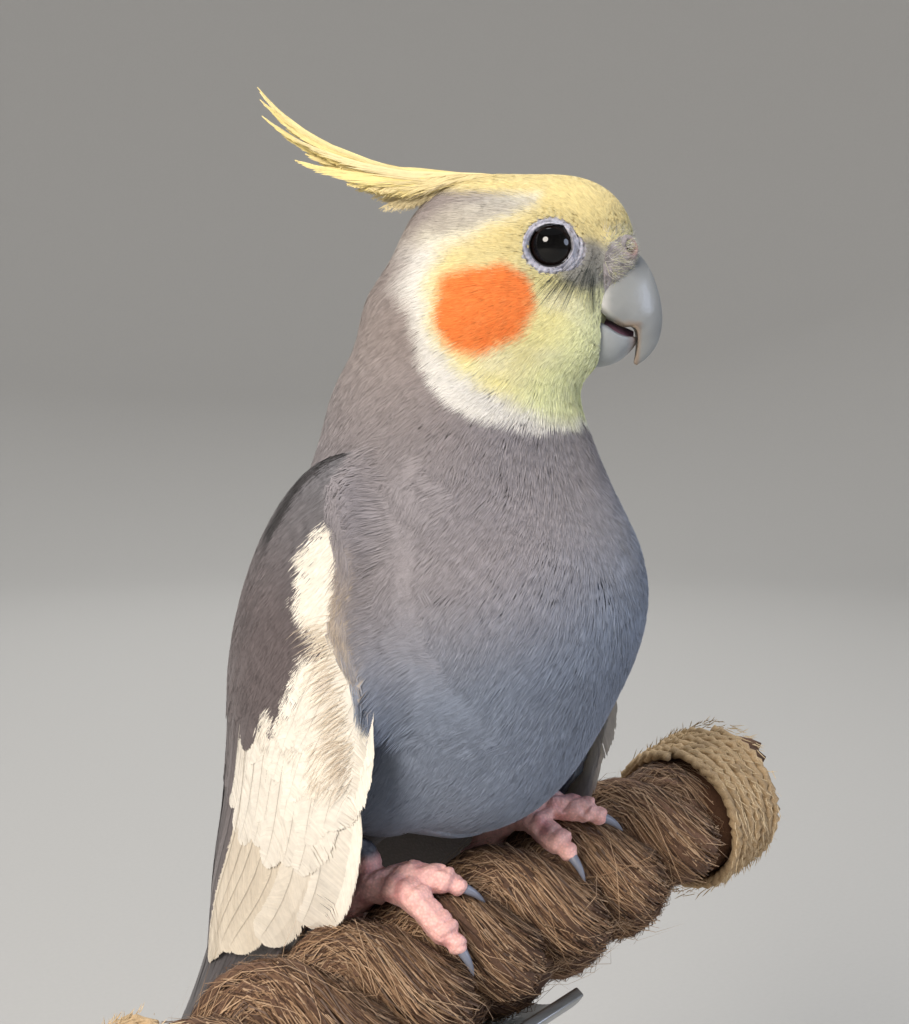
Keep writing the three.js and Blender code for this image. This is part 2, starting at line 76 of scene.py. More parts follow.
def ramp(x: Array, low: float, high: float) -> Array:
    """Rises smoothly from 0 at low to 1 at high.

    Args:
        x: where it is read.
        low: where it leaves 0.
        high: where it reaches 1.

    Returns:
        Shares from 0 to 1.
    """
    t = np.clip((np.asarray(x, float) - low) / (high - low), 0, 1)
    return t * t * (3 - 2 * t)


def mixed(a: Array, b: Array, share: Array) -> Array:
    """Mixes colours or points a and b by a share for each row."""
    return a + (b - a) * np.asarray(share)[..., None]


def blend(first: str, second: str, share: Array) -> Array:
    """Mixes two hex colours by a share for each row."""
    return mixed(linear(first), linear(second), share)


def kept_share() -> float:
    """The share of the small feathers that is built."""
    return 1.0


def waves(points: Array, size: float, seed: int) -> Array:
    """Soft noise between about -1 and 1.

    Args:
        points: places in millimetres.
        size: size of a lump in millimetres.
        seed: seed of the noise.

    Returns:
        One value for each point.
    """
    rng = np.random.default_rng(seed)
    total = np.zeros(points.shape[:-1])
    for _ in range(9):
        way = unit(rng.normal(size=3)) * 2 * math.pi / (size * rng.uniform(1.3, 3.2))
        total += np.sin(points @ way + rng.uniform(0, 2 * math.pi))
    return total / 4.5


def smooth_curve(stations: Array, u: Array) -> Array:
    """The centripetal curve through rows of numbers, as the solids use it.

    Args:
        stations: rows that the curve passes through.
        u: places along the curve from 0 to 1.

    Returns:
        One row for each place.
    """
    p = np.asarray(stations, float)
    u = np.clip(np.asarray(u, float), 0, 1) * (len(p) - 1)
    i = np.minimum(u.astype(int), len(p) - 2)
    w = (u - i)[..., None]
    p = np.vstack([2 * p[0] - p[1], p, 2 * p[-1] - p[-2]])
    x0, x1, x2, x3 = (p[i + k] for k in range(4))

    def gap(a: Array, b: Array) -> Array:
        """The curve's spacing between two stations."""
        return np.maximum(((a - b) ** 2).sum(-1, keepdims=True), 1e-12) ** 0.25

    d0, d1, d2 = gap(x0, x1), gap(x1, x2), gap(x2, x3)
    t1 = ((x1 - x0) / d0 - (x2 - x0) / (d0 + d1) + (x2 - x1) / d1) * d1
    t2 = ((x2 - x1) / d1 - (x3 - x1) / (d1 + d2) + (x3 - x2) / d2) * d1
    bend = -3 * x1 + 3 * x2 - 2 * t1 - t2
    return x1 + t1 * w + bend * w**2 + (2 * x1 - 2 * x2 + t1 + t2) * w**3


class Side(Enum):
    """The bird's two sides, with the sign of X on each."""

    RIGHT = -1
    LEFT = 1

    @property
    def word(self) -> str:
        """The side's name as the solids spell it."""
        return self.name.lower()


# ---- The bird's form ----


@dataclass(frozen=True)
class HeadFrame:
    """Places on the head: forward, to the bird's left, and up from the middle of the skull."""

    turn: float = math.radians(42)
    middle: tuple[float, float, float] = (0, -5.6, 92 + PERCH_TOP)

    @property
    def axes(self) -> Array:
        """Forward, left and up as rows."""
        s, c = math.sin(self.turn), math.cos(self.turn)
        return np.array([[s, -c, 0], [c, s, 0], [0, 0, 1.0]])

    def inside(self, points: Array) -> Array:
        """Turns places in the row's frame into forward, left and up."""
        return (points - self.middle) @ self.axes.T

    def outside(self, places: Array) -> Array:
        """Turns forward, left and up into places in the row's frame."""
        return np.asarray(places, float) @ self.axes + self.middle


HEAD = HeadFrame()
LEAN = math.radians(28)  # how far the trunk leans back


@dataclass(frozen=True)
class Ball:
    """One ellipsoid of the form, blended softly with the ones before it."""

    centre: tuple[float, float, float]
    radii: tuple[float, float, float]
    soft: float
    on_head: bool = False
    leaning: bool = False

    def distance(self, points: Array) -> Array:
        """Signed distance from the ball, near enough for modelling.

        Args:
            points: places in the row's frame, in millimetres.

        Returns:
            One distance for each point, below zero inside.
        """
        if self.on_head:
            q = HEAD.inside(points) - self.centre
        else:
            q = points - (self.centre + np.array([0, 0, PERCH_TOP]))
            if self.leaning:
                s, c = math.sin(LEAN), math.cos(LEAN)
                q = q @ np.array([[1, 0, 0], [0, c, -s], [0, s, c]])
        q = q / self.radii
        k = np.linalg.norm(q, axis=-1)
        return k * (k - 1) / np.maximum(np.linalg.norm(q / self.radii, axis=-1), 1e-9)


@dataclass(frozen=True)
class Form:
    """A smooth blend of balls."""

    balls: tuple[Ball, ...]

    def distance(self, points: Array) -> Array:
        """Signed distance from the blended balls.

        Args:
            points: places in the row's frame, in millimetres.

        Returns:
            One distance for each point, below zero inside.
        """
        total = np.full(points.shape[:-1], 1e3)
        for ball in self.balls:
            d = ball.distance(points)
            h = np.maximum(ball.soft - np.abs(total - d), 0) / ball.soft
            total = np.minimum(total, d) - h * h * ball.soft / 4
        return total

    def normal(self, points: Array) -> Array:
        """The way straight out of the form."""
        steps = np.eye(3) * 0.05
        return unit(np.stack([self.distance(points + s) - self.distance(points - s) for s in steps], -1))

    def settle(self, points: Array, height: Array, way: Array, rounds: int = 2) -> Array:
        """Slides points along way until they stand at a height over the form.

        Args:
            points: places in the row's frame, in millimetres.
            height: the height of each over the form.
            way: the way each slides, as a unit vector.
            rounds: how often the slide is corrected.

        Returns:
            The new places.
        """
        for _ in range(rounds):
            points = points + way * (height - self.distance(points))[..., None]
        return points


PLUMAGE = Form(
    (
        Ball((1.2, 0, 0.6), (14.5, 11.0, 12.2), 4, on_head=True),
        Ball((11.0, 0, 2.9), (9.6, 7.6, 9.5), 4, on_head=True),
        Ball((8.4, 0, -9.2), (8.9, 9.0, 9.0), 4, on_head=True),
        Ball((-3.2, 0, -8.2), (15.4, 12.4, 11.2), 4, on_head=True),
        Ball((-6.0, 0, -21.5), (16.8, 14.2, 14.5), 5, on_head=True),
        Ball((0, 0.8, 66), (15.2, 14.4, 13.0), 8),
        Ball((0, -3.2, 44.0), (24.3, 26.0, 22.0), 12),
        Ball((0, 10.5, 38), (23.0, 21.5, 38.0), 12, leaning=True),
        Ball((0, -0.5, 28.5), (18.5, 19.5, 21.5), 12),
        Ball((13, 6, 18), (8.5, 10.0, 10.0), 6),
        Ball((-13, 6, 18), (8.5, 10.0, 10.0), 6),
        Ball((0, 32, 6), (12.5, 11.0, 30.0), 12, leaning=True),
        Ball((0, 43.5, -17), (7.8, 5.4, 25.0), 7, leaning=True),
    )
)
FACE = Form(
    PLUMAGE.balls[:5]
    + (
        Ball((16.6, 0, 0.2), (3.9, 5.0, 3.9), 2, on_head=True),
        Ball((18.6, 2.6, 1.7), (2.3, 1.9, 1.9), 1.2, on_head=True),
        Ball((18.6, -2.6, 1.7), (2.3, 1.9, 1.9), 1.2, on_head=True),
    )
)


@dataclass(frozen=True)
class Station:
    """One section of a blade: its middle, half width, half depth, turn in degrees and arch."""

    at: tuple[float, float, float]
    wide: float
    deep: float
    turn: float = 0
    arch: float = 0


@dataclass(frozen=True)
class Blade:
    """A wing or tail blade with a chart on its outer face.

    The chart has s, millimetres along the blade from its root, and q, millimetres across it, growing
    towards the bird's back on a wing and towards its left on the tail.
    """

    stations: tuple[Station, ...]
    side: Side
    on_wing: bool = True

    def __post_init__(self) -> None:
        """Measures the length along the blade."""
        u = np.linspace(0, 1, 500)
        middle = smooth_curve([s.at for s in self.stations], u)
        run = np.concatenate([[0], np.cumsum(np.linalg.norm(np.diff(middle, axis=0), axis=1))])
        object.__setattr__(self, "_u", u)
        object.__setattr__(self, "_s", run)
        object.__setattr__(self, "_sizes", np.array([[k.wide, k.deep, 0] for k in self.stations]))

    @property
    def length(self) -> float:
        """Length along the middle of the blade."""
        return float(self._s[-1])

    def half_width(self, s: Array) -> Array:
        """Half the blade's width at s."""
        return smooth_curve(self._sizes, np.interp(s, self._s, self._u))[..., 0]

    def place(self, s: Array, q: Array, h: Array, wrap: bool = False) -> Array:
        """Turns chart places and heights over the blade's face into places in the row's frame.

        Args:
            s: places along the blade.
            q: places across it.
            h: heights over its face.
            wrap: whether places past its edges bend round them, or else run straight on.

        Returns:
            One place for each row.
        """
        u = np.interp(s, self._s, self._u)
        at = np.array([k.at for k in self.stations]) + [0, 0, PERCH_TOP]
        bends = np.array([[k.turn, k.arch, 0] for k in self.stations])
        middle = smooth_curve(at, u)
        run = unit(smooth_curve(at, u + 2e-3) - smooth_curve(at, u - 2e-3))
        middle = middle + run * (np.maximum(s - self.length, 0) + np.minimum(s, 0))[..., None]
        size, bend = smooth_curve(self._sizes, u), smooth_curve(bends, u)
        if self.on_wing:
            turn = np.radians(bend[..., 0])
            across = np.stack([np.sin(turn), np.cos(turn), np.full_like(turn, 0.55)], -1)
        else:
            across = np.broadcast_to([1.0, 0, 0], run.shape)
        across = unit(across - run * (across * run).sum(-1, keepdims=True))
        out = np.cross(across, run)
        b = q / np.maximum(size[..., 0], 0.8)
        lift = size[..., 1] * np.sqrt(np.clip(1 - b * b, 0, 1)) - bend[..., 1] * np.minimum(b * b, 2)
        if wrap:
            past = np.maximum(np.abs(b) - 1, 0) * size[..., 0] / np.maximum(size[..., 1], 1.0)
            round_edge = np.minimum(past, 1.4)
            q = np.where(past > 0, np.sign(b) * (size[..., 0] * np.cos(round_edge)), q)
            q = q + np.sign(b) * h * ramp(np.abs(b), 0.7, 1.1)
            under = -size[..., 1] * np.sin(round_edge) - bend[..., 1] * np.cos(round_edge) ** 2
            lift = np.where(past > 0, under, lift)
        points = middle + across * q[..., None] + out * (lift + h)[..., None]
        if self.side is Side.LEFT:
            points = points * [-1, 1, 1]
        return points

    def normal(self, s: Array, q: Array) -> Array:
        """The way straight out of the blade's outer face.

        Args:
            s: places along the blade.
            q: places across it.

        Returns:
            One unit vector for each place.
        """
        h = np.zeros_like(s)
        along = self.place(s + 0.4, q, h) - self.place(s - 0.4, q, h)
        across = self.place(s, q + 0.4, h) - self.place(s, q - 0.4, h)
        out = np.cross(across, along)
        return unit(out if self.side is Side.RIGHT else -out)


WING_STATIONS = (
    Station((-19.0, -2, 64.5), 3, 2, 12, 0),
    Station((-21.8, 2, 59), 9, 5.0, 15, 1.5),
    Station((-23.6, 8.2, 48), 15.5, 5.9, 18, 3.8),
    Station((-24.4, 13.5, 32), 20.5, 6.0, 21, 4.8),
    Station((-22.8, 19, 14), 22.5, 5.3, 25, 5),
    Station((-18.2, 32, -6.5), 18, 4.2, 34, 3.8),
    Station((-13.2, 44, -26), 11, 2.4, 44, 1.8),
    Station((-10.2, 53, -42), 3.5, 0.9, 50, 0.5),
    Station((-9.6, 55, -45.5), 0.5, 0.4, 50, 0),
)
PRIMARY_STATIONS = (
    Station((-19.0, 22, 8), 8, 1.2, 30, 1),
    Station((-17.4, 32.5, -9), 11.5, 2.2, 36, 2),
    Station((-14.4, 46.5, -30), 8.4, 1.8, 46, 1.2),
    Station((-11.4, 61, -49), 5.6, 1.4, 56, 0.7),
    Station((-8.6, 74, -67), 3.8, 1.0, 63, 0.3),
    Station((-5.8, 85.5, -84), 1.3, 0.5, 66, 0),
    Station((-5.6, 87, -86), 0.4, 0.4, 66, 0),
)
TAIL_MIDDLE_STATIONS = (
    Station((0, 39, 4), 4, 1.5),
    Station((0, 45.8, -12), 5.5, 1.6),
    Station((0, 60.5, -46), 6.0, 1.2),
    Station((0, 77.5, -84), 5.2, 0.9),
    Station((0, 95.5, -124), 3.6, 0.7),
    Station((0, 107, -149.5), 1.6, 0.45),
    Station((0, 109, -154), 0.4, 0.35),
)
TAIL_SIDE_STATIONS = (
    Station((-3.6, 37.5, 0), 2.5, 1.5),
    Station((-4.2, 43.6, -14), 3.8, 1.5),
    Station((-5.2, 58, -46), 4.6, 1.1),
    Station((-6.4, 73.4, -80), 5.2, 0.8),
    Station((-5.6, 88.4, -113), 2.8, 0.6),
    Station((-4.8, 91, -118.5), 0.5, 0.4),
)


# ---- Markings ----


def outline_distance(points: Array, outline: Sequence[tuple[float, float]]) -> Array:
    """Signed distance from a closed outline in a plane, below zero inside.

    Args:
        points: places in the plane, one row each.
        outline: the outline's corners in order.

    Returns:
        One distance for each point.
    """
    best = np.full(points.shape[:-1], 1e6)
    inside = np.zeros(points.shape[:-1], bool)
    corners = np.asarray(outline, float)
    for a, b in zip(corners, np.roll(corners, -1, axis=0)):
        edge, way = b - a, points - a
        t = np.clip((way @ edge) / (edge @ edge), 0, 1)
        best = np.minimum(best, np.linalg.norm(way - t[..., None] * edge, axis=-1))
        crosses = (a[1] > points[..., 1]) != (b[1] > points[..., 1])
        rise = edge[1] if edge[1] else 1e-9
        x = a[0] + (points[..., 1] - a[1]) / rise * edge[0]
        inside ^= crosses & (points[..., 0] < x)
    return np.where(inside, -best, best)


@dataclass(frozen=True)
class Markings:
    """Where each colour lies, for the skin and the coat alike, with some painted shade and light among
    them.
    """

    grey: str = "#858fa1"
    neck: str = "#938e92"
    nape: str = "#9a8f8b"
    mantle: str = "#6b6362"
    yellow: str = "#f3ebac"
    gold: str = "#e9d89c"
    # the throat's own paler yellow, with painted light and a painted greenish cast of shade
    green: str = "#f3f8c8"
    pale: str = "#f6f2dc"
    white: str = "#f4f1ea"
    orange: str = "#f98b42"
    pale_orange: str = "#fba45f"
    lore: str = "#8f8f92"
    cream: str = "#e6dac6"
    shoulder: str = "#747276"
    wing_dark: str = "#6a6162"
    # painted shade low under the belly and at the vent, over the perch
    rump: str = "#4b423e"
    # painted shadow in the gap between the back and the right wing
    gap_shadow: str = "#262123"
    flight: str = "#4a4547"
    bib: tuple[tuple[float, float], ...] = (
        (30, 16), (8, 18), (1.4, 9.2), (-4, 7.2), (-9.8, 4.2), (-12.8, 0.5), (-13.8, -4.5),
        (-12.0, -9), (-10.8, -13.3), (-9.0, -17.4), (-6.8, -20), (-3.2, -22), (1.6, -23.4),
        (7.1, -24.6), (12, -24.6), (30, -24.6),
    )
    bright: tuple[tuple[float, float], ...] = (
        (30, 16), (8, 18), (5.2, 8.4), (1.4, 6.4), (-2.7, 4.4), (-7.2, 1.6), (-9.4, -1.5),
        (-9.8, -5), (-9.4, -9), (-8.6, -11.0), (-6.0, -14.2), (-2.4, -17.6), (2.6, -20.2),
        (7.1, -22.4), (12, -23.6), (30, -23.6),
    )
    crown_streak: tuple[tuple[float, float], ...] = (
        (5.0, 8.9), (-3.4, 6.6), (-8.5, 5.0), (-8.0, 3.9), (-3.2, 5.2),
    )
    ear: tuple[tuple[float, float], ...] = (
        (-7.0, -5.6), (-6.4, -3.4), (-3.2, -1.9), (0.4, -1.3), (2.8, -3.0), (4.3, -6.2),
        (2.4, -9.6), (-1.4, -12.0), (-4.9, -11.2), (-6.7, -8.8),
    )
    white_edge: tuple[tuple[float, float], ...] = (
        (0, -30), (6, -14), (8, -8.5), (11, -5.3), (14, -3.8), (18, -4.6), (23, -7.0), (26, -10),
        (28, -12.5), (31, -10.5), (35, -11.5), (38, -10.5), (42, -7), (46, -5), (50, -2.5), (54, 0.5),
        (62, 1), (80, -2), (130, -2),
    )  # places along the wing, and how far back the white reaches there

    def body(self, points: Array) -> Array:
        """The linear colour of the head and body.

        Args:
            points: places in the row's frame, in millimetres.

        Returns:
            One colour for each point.
        """
        on_head = HEAD.inside(points)
        side_view = on_head[..., [0, 2]]
        f, a, u = on_head[..., 0], np.abs(on_head[..., 1]), on_head[..., 2]
        z = points[..., 2] - PERCH_TOP
        wander = waves(points, 3.0, 11) * 0.5
        colour = np.broadcast_to(linear(self.grey), points.shape).copy()
        colour *= (1 + 0.07 * waves(points, 9.0, 5) + 0.05 * waves(points, 3.5, 6))[..., None]
        behind = ramp(points[..., 1], 6, 20)
        colour = mixed(colour, linear(self.neck), ramp(z - 0.5 * points[..., 0], 38, 62))
        colour = mixed(colour, linear(self.nape), ramp(z, 56, 84) * ramp(-f, -4, 8))
        colour = mixed(colour, linear(self.mantle), behind * ramp(z, 78, 58) * 0.9)
        # Painted shade low under the belly and at the vent, where the body sits over the perch.
        colour = mixed(colour, linear(self.rump), ramp(-z, -12, -4) * ramp(points[..., 1], -4, 6) * 0.8)
        bib = outline_distance(side_view, self.bib) + wander * 0.8
        rim = mixed(linear(self.white) * 0.9, linear(self.pale), ramp(u, 0, 5))
        soft = np.interp(u, [-16, -8, 2], [0.6, 1.8, 3.2])
        colour = mixed(colour, rim, ramp(-bib / soft, -1.0, 1.0))
        bright = outline_distance(side_view, self.bright) + wander
        crown = ramp(u, 9.0, 11.0) * ramp(f, -13, -9)
        yellow = np.maximum(ramp(-bright, -1.6, 2.0), crown)
        streak = outline_distance(side_view, self.crown_streak)
        yellow_here = blend(self.yellow, self.pale, 0.45 * ramp(waves(points, 4.0, 8), -0.2, 1.0))
        yellow_here = mixed(yellow_here, linear(self.gold), ramp(u, -5, 3) * 0.9)
        # Towards the front and the throat: their own paler yellow, painted lighter for the light there
        # and with the greenish cast of shade painted in.
        yellow_here = mixed(yellow_here, linear(self.green), ramp(f - 0.7 * u, 12, 22) * 0.8)
        colour = mixed(colour, yellow_here, yellow)
        colour = mixed(colour, linear(self.nape), ramp(-streak, -1.6, 0.5) * (a > 4) * 0.5)
        lore = np.hypot((f - 13.2) / 5.0, (u + 0.2) / 4.2)
        colour = mixed(colour, linear(self.lore), ramp(-lore, -1.15, -0.6) * 0.85 * (a > 2))
        ear = outline_distance(side_view, self.ear) - 1.4 + wander
        fleck = ramp(waves(points * [1, 1, 2.4], 1.3, 13), 0.2, 1.2)
        glow = blend(self.orange, self.pale_orange, fleck * 0.7)
        return mixed(colour, glow, ramp(-ear, -1.2, 0.9) * (a > 6))

    def wing(self, s: Array, q: Array, rng: np.random.Generator) -> Array:
        """The linear colour of each wing feather.

        Args:
            s: the feathers' places along the wing's chart.
            q: their places across it.
            rng: random draws.

        Returns:
            One colour for each feather.
        """
        at = np.stack([s, q, s * 0], -1)
        jag = 1.1 * waves(at * [0.45, 1.6, 1], 3.0, 17) + rng.normal(size=s.shape) * 0.3
        white = (np.interp(s, *zip(*self.white_edge)) - q + jag > 0) * 1.0
        dark = blend(self.shoulder, self.wing_dark, ramp(s, 6, 30))
        dark = dark * (1 + rng.normal(size=s.shape) * 0.06 + 0.08 * waves(at, 6.0, 18))[..., None]
        pale = mixed(linear(self.white) * [0.98, 0.95, 0.9], linear(self.cream), ramp(s, 55, 75))
        pale = pale * (1 + 0.05 * waves(at, 5.0, 19))[..., None]
        return mixed(dark, pale, white)


MARKS = Markings()


# ---- Finishes ----


def node(tree: bpy.types.NodeTree, kind: str, links: dict = {}, **settings: object) -> bpy.types.Node:
    """Adds a shader node.

    Args:
        tree: the material's tree.
        kind: the node's type without the ShaderNode prefix.
        links: input name or number to an output socket, or to a value for the input itself.
        settings: attributes of the node.

    Returns:
        The new node.
    """
    made = tree.nodes.new("ShaderNode" + kind)
    for key, value in settings.items():
        setattr(made, key, value)
    for key, value in links.items():
        if isinstance(value, bpy.types.NodeSocket):
            tree.links.new(value, made.inputs[key])
        else:
            made.inputs[key].default_value = value
    return made


def rgba(code: str) -> tuple[float, float, float, float]:
    """A hex colour as a shader socket's linear value."""
    return (*linear(code), 1.0)


@dataclass(frozen=True)
class Finish:
    """What every finish has: a name, its gloss and a bump."""

    name: str
    roughness: float = 0.7
    ior: float = 1.5
    bump: float = 0.0
    grain: float = 0.3  # size of the grain in millimetres

    def start(
        self, **constants: object
    ) -> tuple[bpy.types.Material, bpy.types.NodeTree, bpy.types.Node]:
        """Starts the finish's material.

        Args:
            constants: values of the shader's inputs, with _ for each space in a name.

        Returns:
            A new material, its tree and its main shader.
        """
        material = bpy.data.materials.new(self.name)
        material.use_nodes = True
        tree = material.node_tree
        shader = tree.nodes["Principled BSDF"]
        shader.inputs["Roughness"].default_value = self.roughness
        shader.inputs["IOR"].default_value = self.ior
        for name, value in constants.items():
            shader.inputs[name.replace("_", " ")].default_value = value
        return material, tree, shader

    def noise(self, tree: bpy.types.NodeTree, size: float, detail: float = 3.0) -> bpy.types.NodeSocket:
        """Noise with lumps of a size in millimetres, on object coordinates.

        Args:
            tree: the material's tree.
            size: size of a lump in millimetres.
            detail: octaves of detail.

        Returns:
            The noise, from 0 to 1.
        """
        at = node(tree, "TexCoord").outputs["Object"]
        made = node(tree, "TexNoise", {"Vector": at, "Scale": 1 / (size * MM), "Detail": detail})
        return made.outputs["Fac"]

    def emboss(
        self, tree: bpy.types.NodeTree, shader: bpy.types.Node, height: bpy.types.NodeSocket
    ) -> None:
        """Drives the shader's normal by a height, up to the finish's bump in millimetres."""
        bump = node(tree, "Bump", {"Strength": 1.0, "Distance": self.bump * MM, "Height": height})
        tree.links.new(bump.outputs["Normal"], shader.inputs["Normal"])

    def tinted(
        self, tree: bpy.types.NodeTree, shader: bpy.types.Node, value: bpy.types.NodeSocket,
        low: float, high: float, top: float = 1.0,
    ) -> bpy.types.NodeSocket:
        """Colours the shader by the piece's own tint, made lighter and darker by a pattern.

        Args:
            tree: the material's tree.
            shader: its main shader.
            value: the pattern.
            low: brightness where the pattern is 0.
            high: brightness where the pattern is at its top.
            top: the pattern's top.

        Returns:
            The brightness.
        """
        tint = node(tree, "VertexColor", layer_name=TINT).outputs["Color"]
        level = node(tree, "MapRange", {"Value": value, "From Max": top, "To Min": low, "To Max": high})
        level = level.outputs["Result"]
        scaled = node(tree, "VectorMath", {0: tint, "Scale": level}, operation="SCALE")
        tree.links.new(scaled.outputs["Vector"], shader.inputs["Base Color"])
        return level

    def toned(
        self, tree: bpy.types.NodeTree, shader: bpy.types.Node, value: bpy.types.NodeSocket,
        colours: Sequence[tuple[float, Sequence[float]]],
    ) -> None:
        """Colours the shader by a pattern.

        Args:
            tree: the material's tree.
            shader: its main shader.
            value: the pattern.
            colours: its two stops, each a place and a colour.
        """
        tone = node(tree, "ValToRGB", {"Fac": value})
        for stop, (place, colour) in zip(tone.color_ramp.elements, colours):
            stop.position, stop.color = place, colour
        tree.links.new(tone.outputs["Color"], shader.inputs["Base Color"])

    def polished(
        self, tree: bpy.types.NodeTree, shader: bpy.types.Node, value: bpy.types.NodeSocket,
        low: float, high: float,
    ) -> None:
        """Varies the shader's roughness by a pattern, from low to high."""
        shine = node(tree, "MapRange", {"Value": value, "To Min": low, "To Max": high})
        tree.links.new(shine.outputs["Result"], shader.inputs["Roughness"])


@dataclass(frozen=True)
class Feather(Finish):
    """Keratin barbs: matt, with a faint sheen along their sides, coloured by the markings."""

    sheen: float = 0.25

    def material(self) -> bpy.types.Material:
        """Builds the material."""
        material, tree, shader = self.start(
            Sheen_Weight=self.sheen, Sheen_Roughness=0.5, Specular_IOR_Level=0.25
        )
        self.tinted(tree, shader, self.noise(tree, 1.1), 0.86, 1.12)
        return material


@dataclass(frozen=True)
class Skin(Finish):
    """Bare skin: dry and finely pebbled, a little soft to light, coloured by the markings."""

    pebble: float = 0.45

    def material(self) -> bpy.types.Material:
        """Builds the material."""
        material, tree, shader = self.start(
            Subsurface_Weight=0.12, Subsurface_Radius=(0.0012, 0.0005, 0.0003), Subsurface_Scale=1.0
        )
        at = node(tree, "TexCoord").outputs["Object"]
        cells = node(tree, "TexVoronoi", {"Vector": at, "Scale": 1 / (self.pebble * MM)})
        edge = self.tinted(tree, shader, cells.outputs["Distance"], 1.06, 0.8, top=0.7)
        self.emboss(tree, shader, edge)
        return material


@dataclass(frozen=True)
class Horn(Finish):
    """Bill and claw keratin: satin, with faint growth streaks, coloured by its own tint."""

    def material(self) -> bpy.types.Material:
        """Builds the material."""
        material, tree, shader = self.start(
            Subsurface_Weight=0.1, Subsurface_Radius=(0.0015, 0.001, 0.0008), Subsurface_Scale=1.0
        )
        self.tinted(tree, shader, self.noise(tree, self.grain * 4, 5.0), 0.86, 1.12)
        self.emboss(tree, shader, self.noise(tree, self.grain, 4.0))
        return material


@dataclass(frozen=True)
class Wet(Finish):
    """The eye: a clear glossy cornea over a near-black iris."""

    def material(self) -> bpy.types.Material:
        """Builds the material."""
        material, tree, shader = self.start()
        self.tinted(tree, shader, self.noise(tree, 0.25), 0.7, 1.3)
        return material


@dataclass(frozen=True)
class Fibre(Finish):
    """Coir and twine: dry plant fibre, rough, coloured fibre by fibre."""

    def material(self) -> bpy.types.Material:
        """Builds the material."""
        material, tree, shader = self.start(Specular_IOR_Level=0.3)
        self.tinted(tree, shader, self.noise(tree, self.grain, 4.0), 0.55, 1.4)
        self.emboss(tree, shader, self.noise(tree, self.grain, 4.0))
        return material


@dataclass(frozen=True)
class Walnut(Finish):
    """Oiled walnut: long dark grain with fine pores, satin."""

    def material(self) -> bpy.types.Material:
        """Builds the material."""
        material, tree, shader = self.start()
        at = node(tree, "TexCoord").outputs["Object"]
        run = node(tree, "Mapping", {"Vector": at, "Scale": (1.0, 12.0, 6.0)}).outputs["Vector"]
        rings = node(tree, "TexNoise", {"Vector": run, "Scale": 14.0, "Detail": 6.0, "Distortion": 0.6})
        pores = node(tree, "TexNoise", {"Vector": run, "Scale": 260.0, "Detail": 2.0}).outputs["Fac"]
        stops = ((0.32, rgba("#3a2415")), (0.68, rgba("#7a4f30")))
        self.toned(tree, shader, rings.outputs["Fac"], stops)
        self.polished(tree, shader, pores, 0.32, 0.55)
        self.emboss(tree, shader, pores)
        return material


@dataclass(frozen=True)
class Steel(Finish):
    """Brushed stainless steel with fine turning marks."""

    def material(self) -> bpy.types.Material:
        """Builds the material."""
        material, tree, shader = self.start(Metallic=1.0)
        at = node(tree, "TexCoord").outputs["Object"]
        run = node(tree, "Mapping", {"Vector": at, "Scale": (1.0, 1.0, 30.0)}).outputs["Vector"]
        marks = node(tree, "TexNoise", {"Vector": run, "Scale": 120.0, "Detail": 4.0}).outputs["Fac"]
        self.toned(tree, shader, marks, ((0, rgba("#8d9093")), (1, rgba("#b9bbbd"))))
        self.polished(tree, shader, marks, 0.24, 0.42)
        return material


@dataclass(frozen=True)
class Paper(Finish):
    """The studio's seamless floor: pale matt paper."""

    colour: str = "#b4b3b0"

    def material(self) -> bpy.types.Material:
        """Builds the material."""
        material, tree, shader = self.start()
        dark, light = ((*(linear(self.colour) * level), 1.0) for level in (0.97, 1.03))
        self.toned(tree, shader, self.noise(tree, 2.0), ((0, dark), (1, light)))
        return material


# ---- Mesh making ----


@dataclass
class Surface:
    """A mesh kept as arrays until it is made: corners, faces, colours and root map places."""

    points: Array
    quads: Array
    triangles: Array
    tints: Array
    places: Optional[Array] = None

    @staticmethod
    def joined(parts: Sequence["Surface"]) -> "Surface":
        """Joins several surfaces into one.

        Args:
            parts: the surfaces, all with places on a root map or all without.

        Returns:
            The joined surface.
        """
        starts = np.cumsum([0] + [len(p.points) for p in parts[:-1]])
        return Surface(
            np.concatenate([p.points for p in parts]),
            np.concatenate([p.quads + s for p, s in zip(parts, starts)]),
            np.concatenate([p.triangles + s for p, s in zip(parts, starts)]),
            np.concatenate([p.tints for p in parts]),
            None if parts[0].places is None else np.concatenate([p.places for p in parts]),
        )

    def made(self, name: str, smooth: bool = True) -> bpy.types.Object:
        """Makes the object, in metres.

        Args:
            name: the piece's name.
            smooth: whether its faces shade smoothly.

        Returns:
            The new object.
        """
        mesh = bpy.data.meshes.new(name)
        mesh.vertices.add(len(self.points))
        mesh.vertices.foreach_set("co", (self.points * MM).astype(np.float32).ravel())
        corners = np.concatenate([self.quads.ravel(), self.triangles.ravel()]).astype(np.int32)
        counts = np.concatenate([np.full(len(self.quads), 4), np.full(len(self.triangles), 3)])
        mesh.loops.add(len(corners))
        mesh.loops.foreach_set("vertex_index", corners)
        mesh.polygons.add(len(counts))
        mesh.polygons.foreach_set("loop_start", (np.cumsum(counts) - counts).astype(np.int32))
        mesh.polygons.foreach_set("use_smooth", np.full(len(counts), smooth))
        mesh.update(calc_edges=True)
        mesh.validate()
        paint(mesh, self.tints)
        if self.places is not None:
            places, offset = self.places[corners, :2], self.places[corners, 2:]
            low, high = places.min(0), places.max(0)
            places = 0.01 + 0.98 * (places - low) / np.maximum(high - low, 1e-6) + offset
            layer = mesh.uv_layers.new(name=ROOT_MAP)
            layer.uv.foreach_set("vector", places.astype(np.float32).ravel())
        return shown(name, mesh)


def shown(name: str, data: bpy.types.ID) -> bpy.types.Object:
    """Links a new object for a mesh, a light or a camera to the scene.

    Args:
        name: the object's name.
        data: what it shows.

    Returns:
        The new object.
    """
    made = bpy.data.objects.new(name, data)
    bpy.context.scene.collection.objects.link(made)
    return made


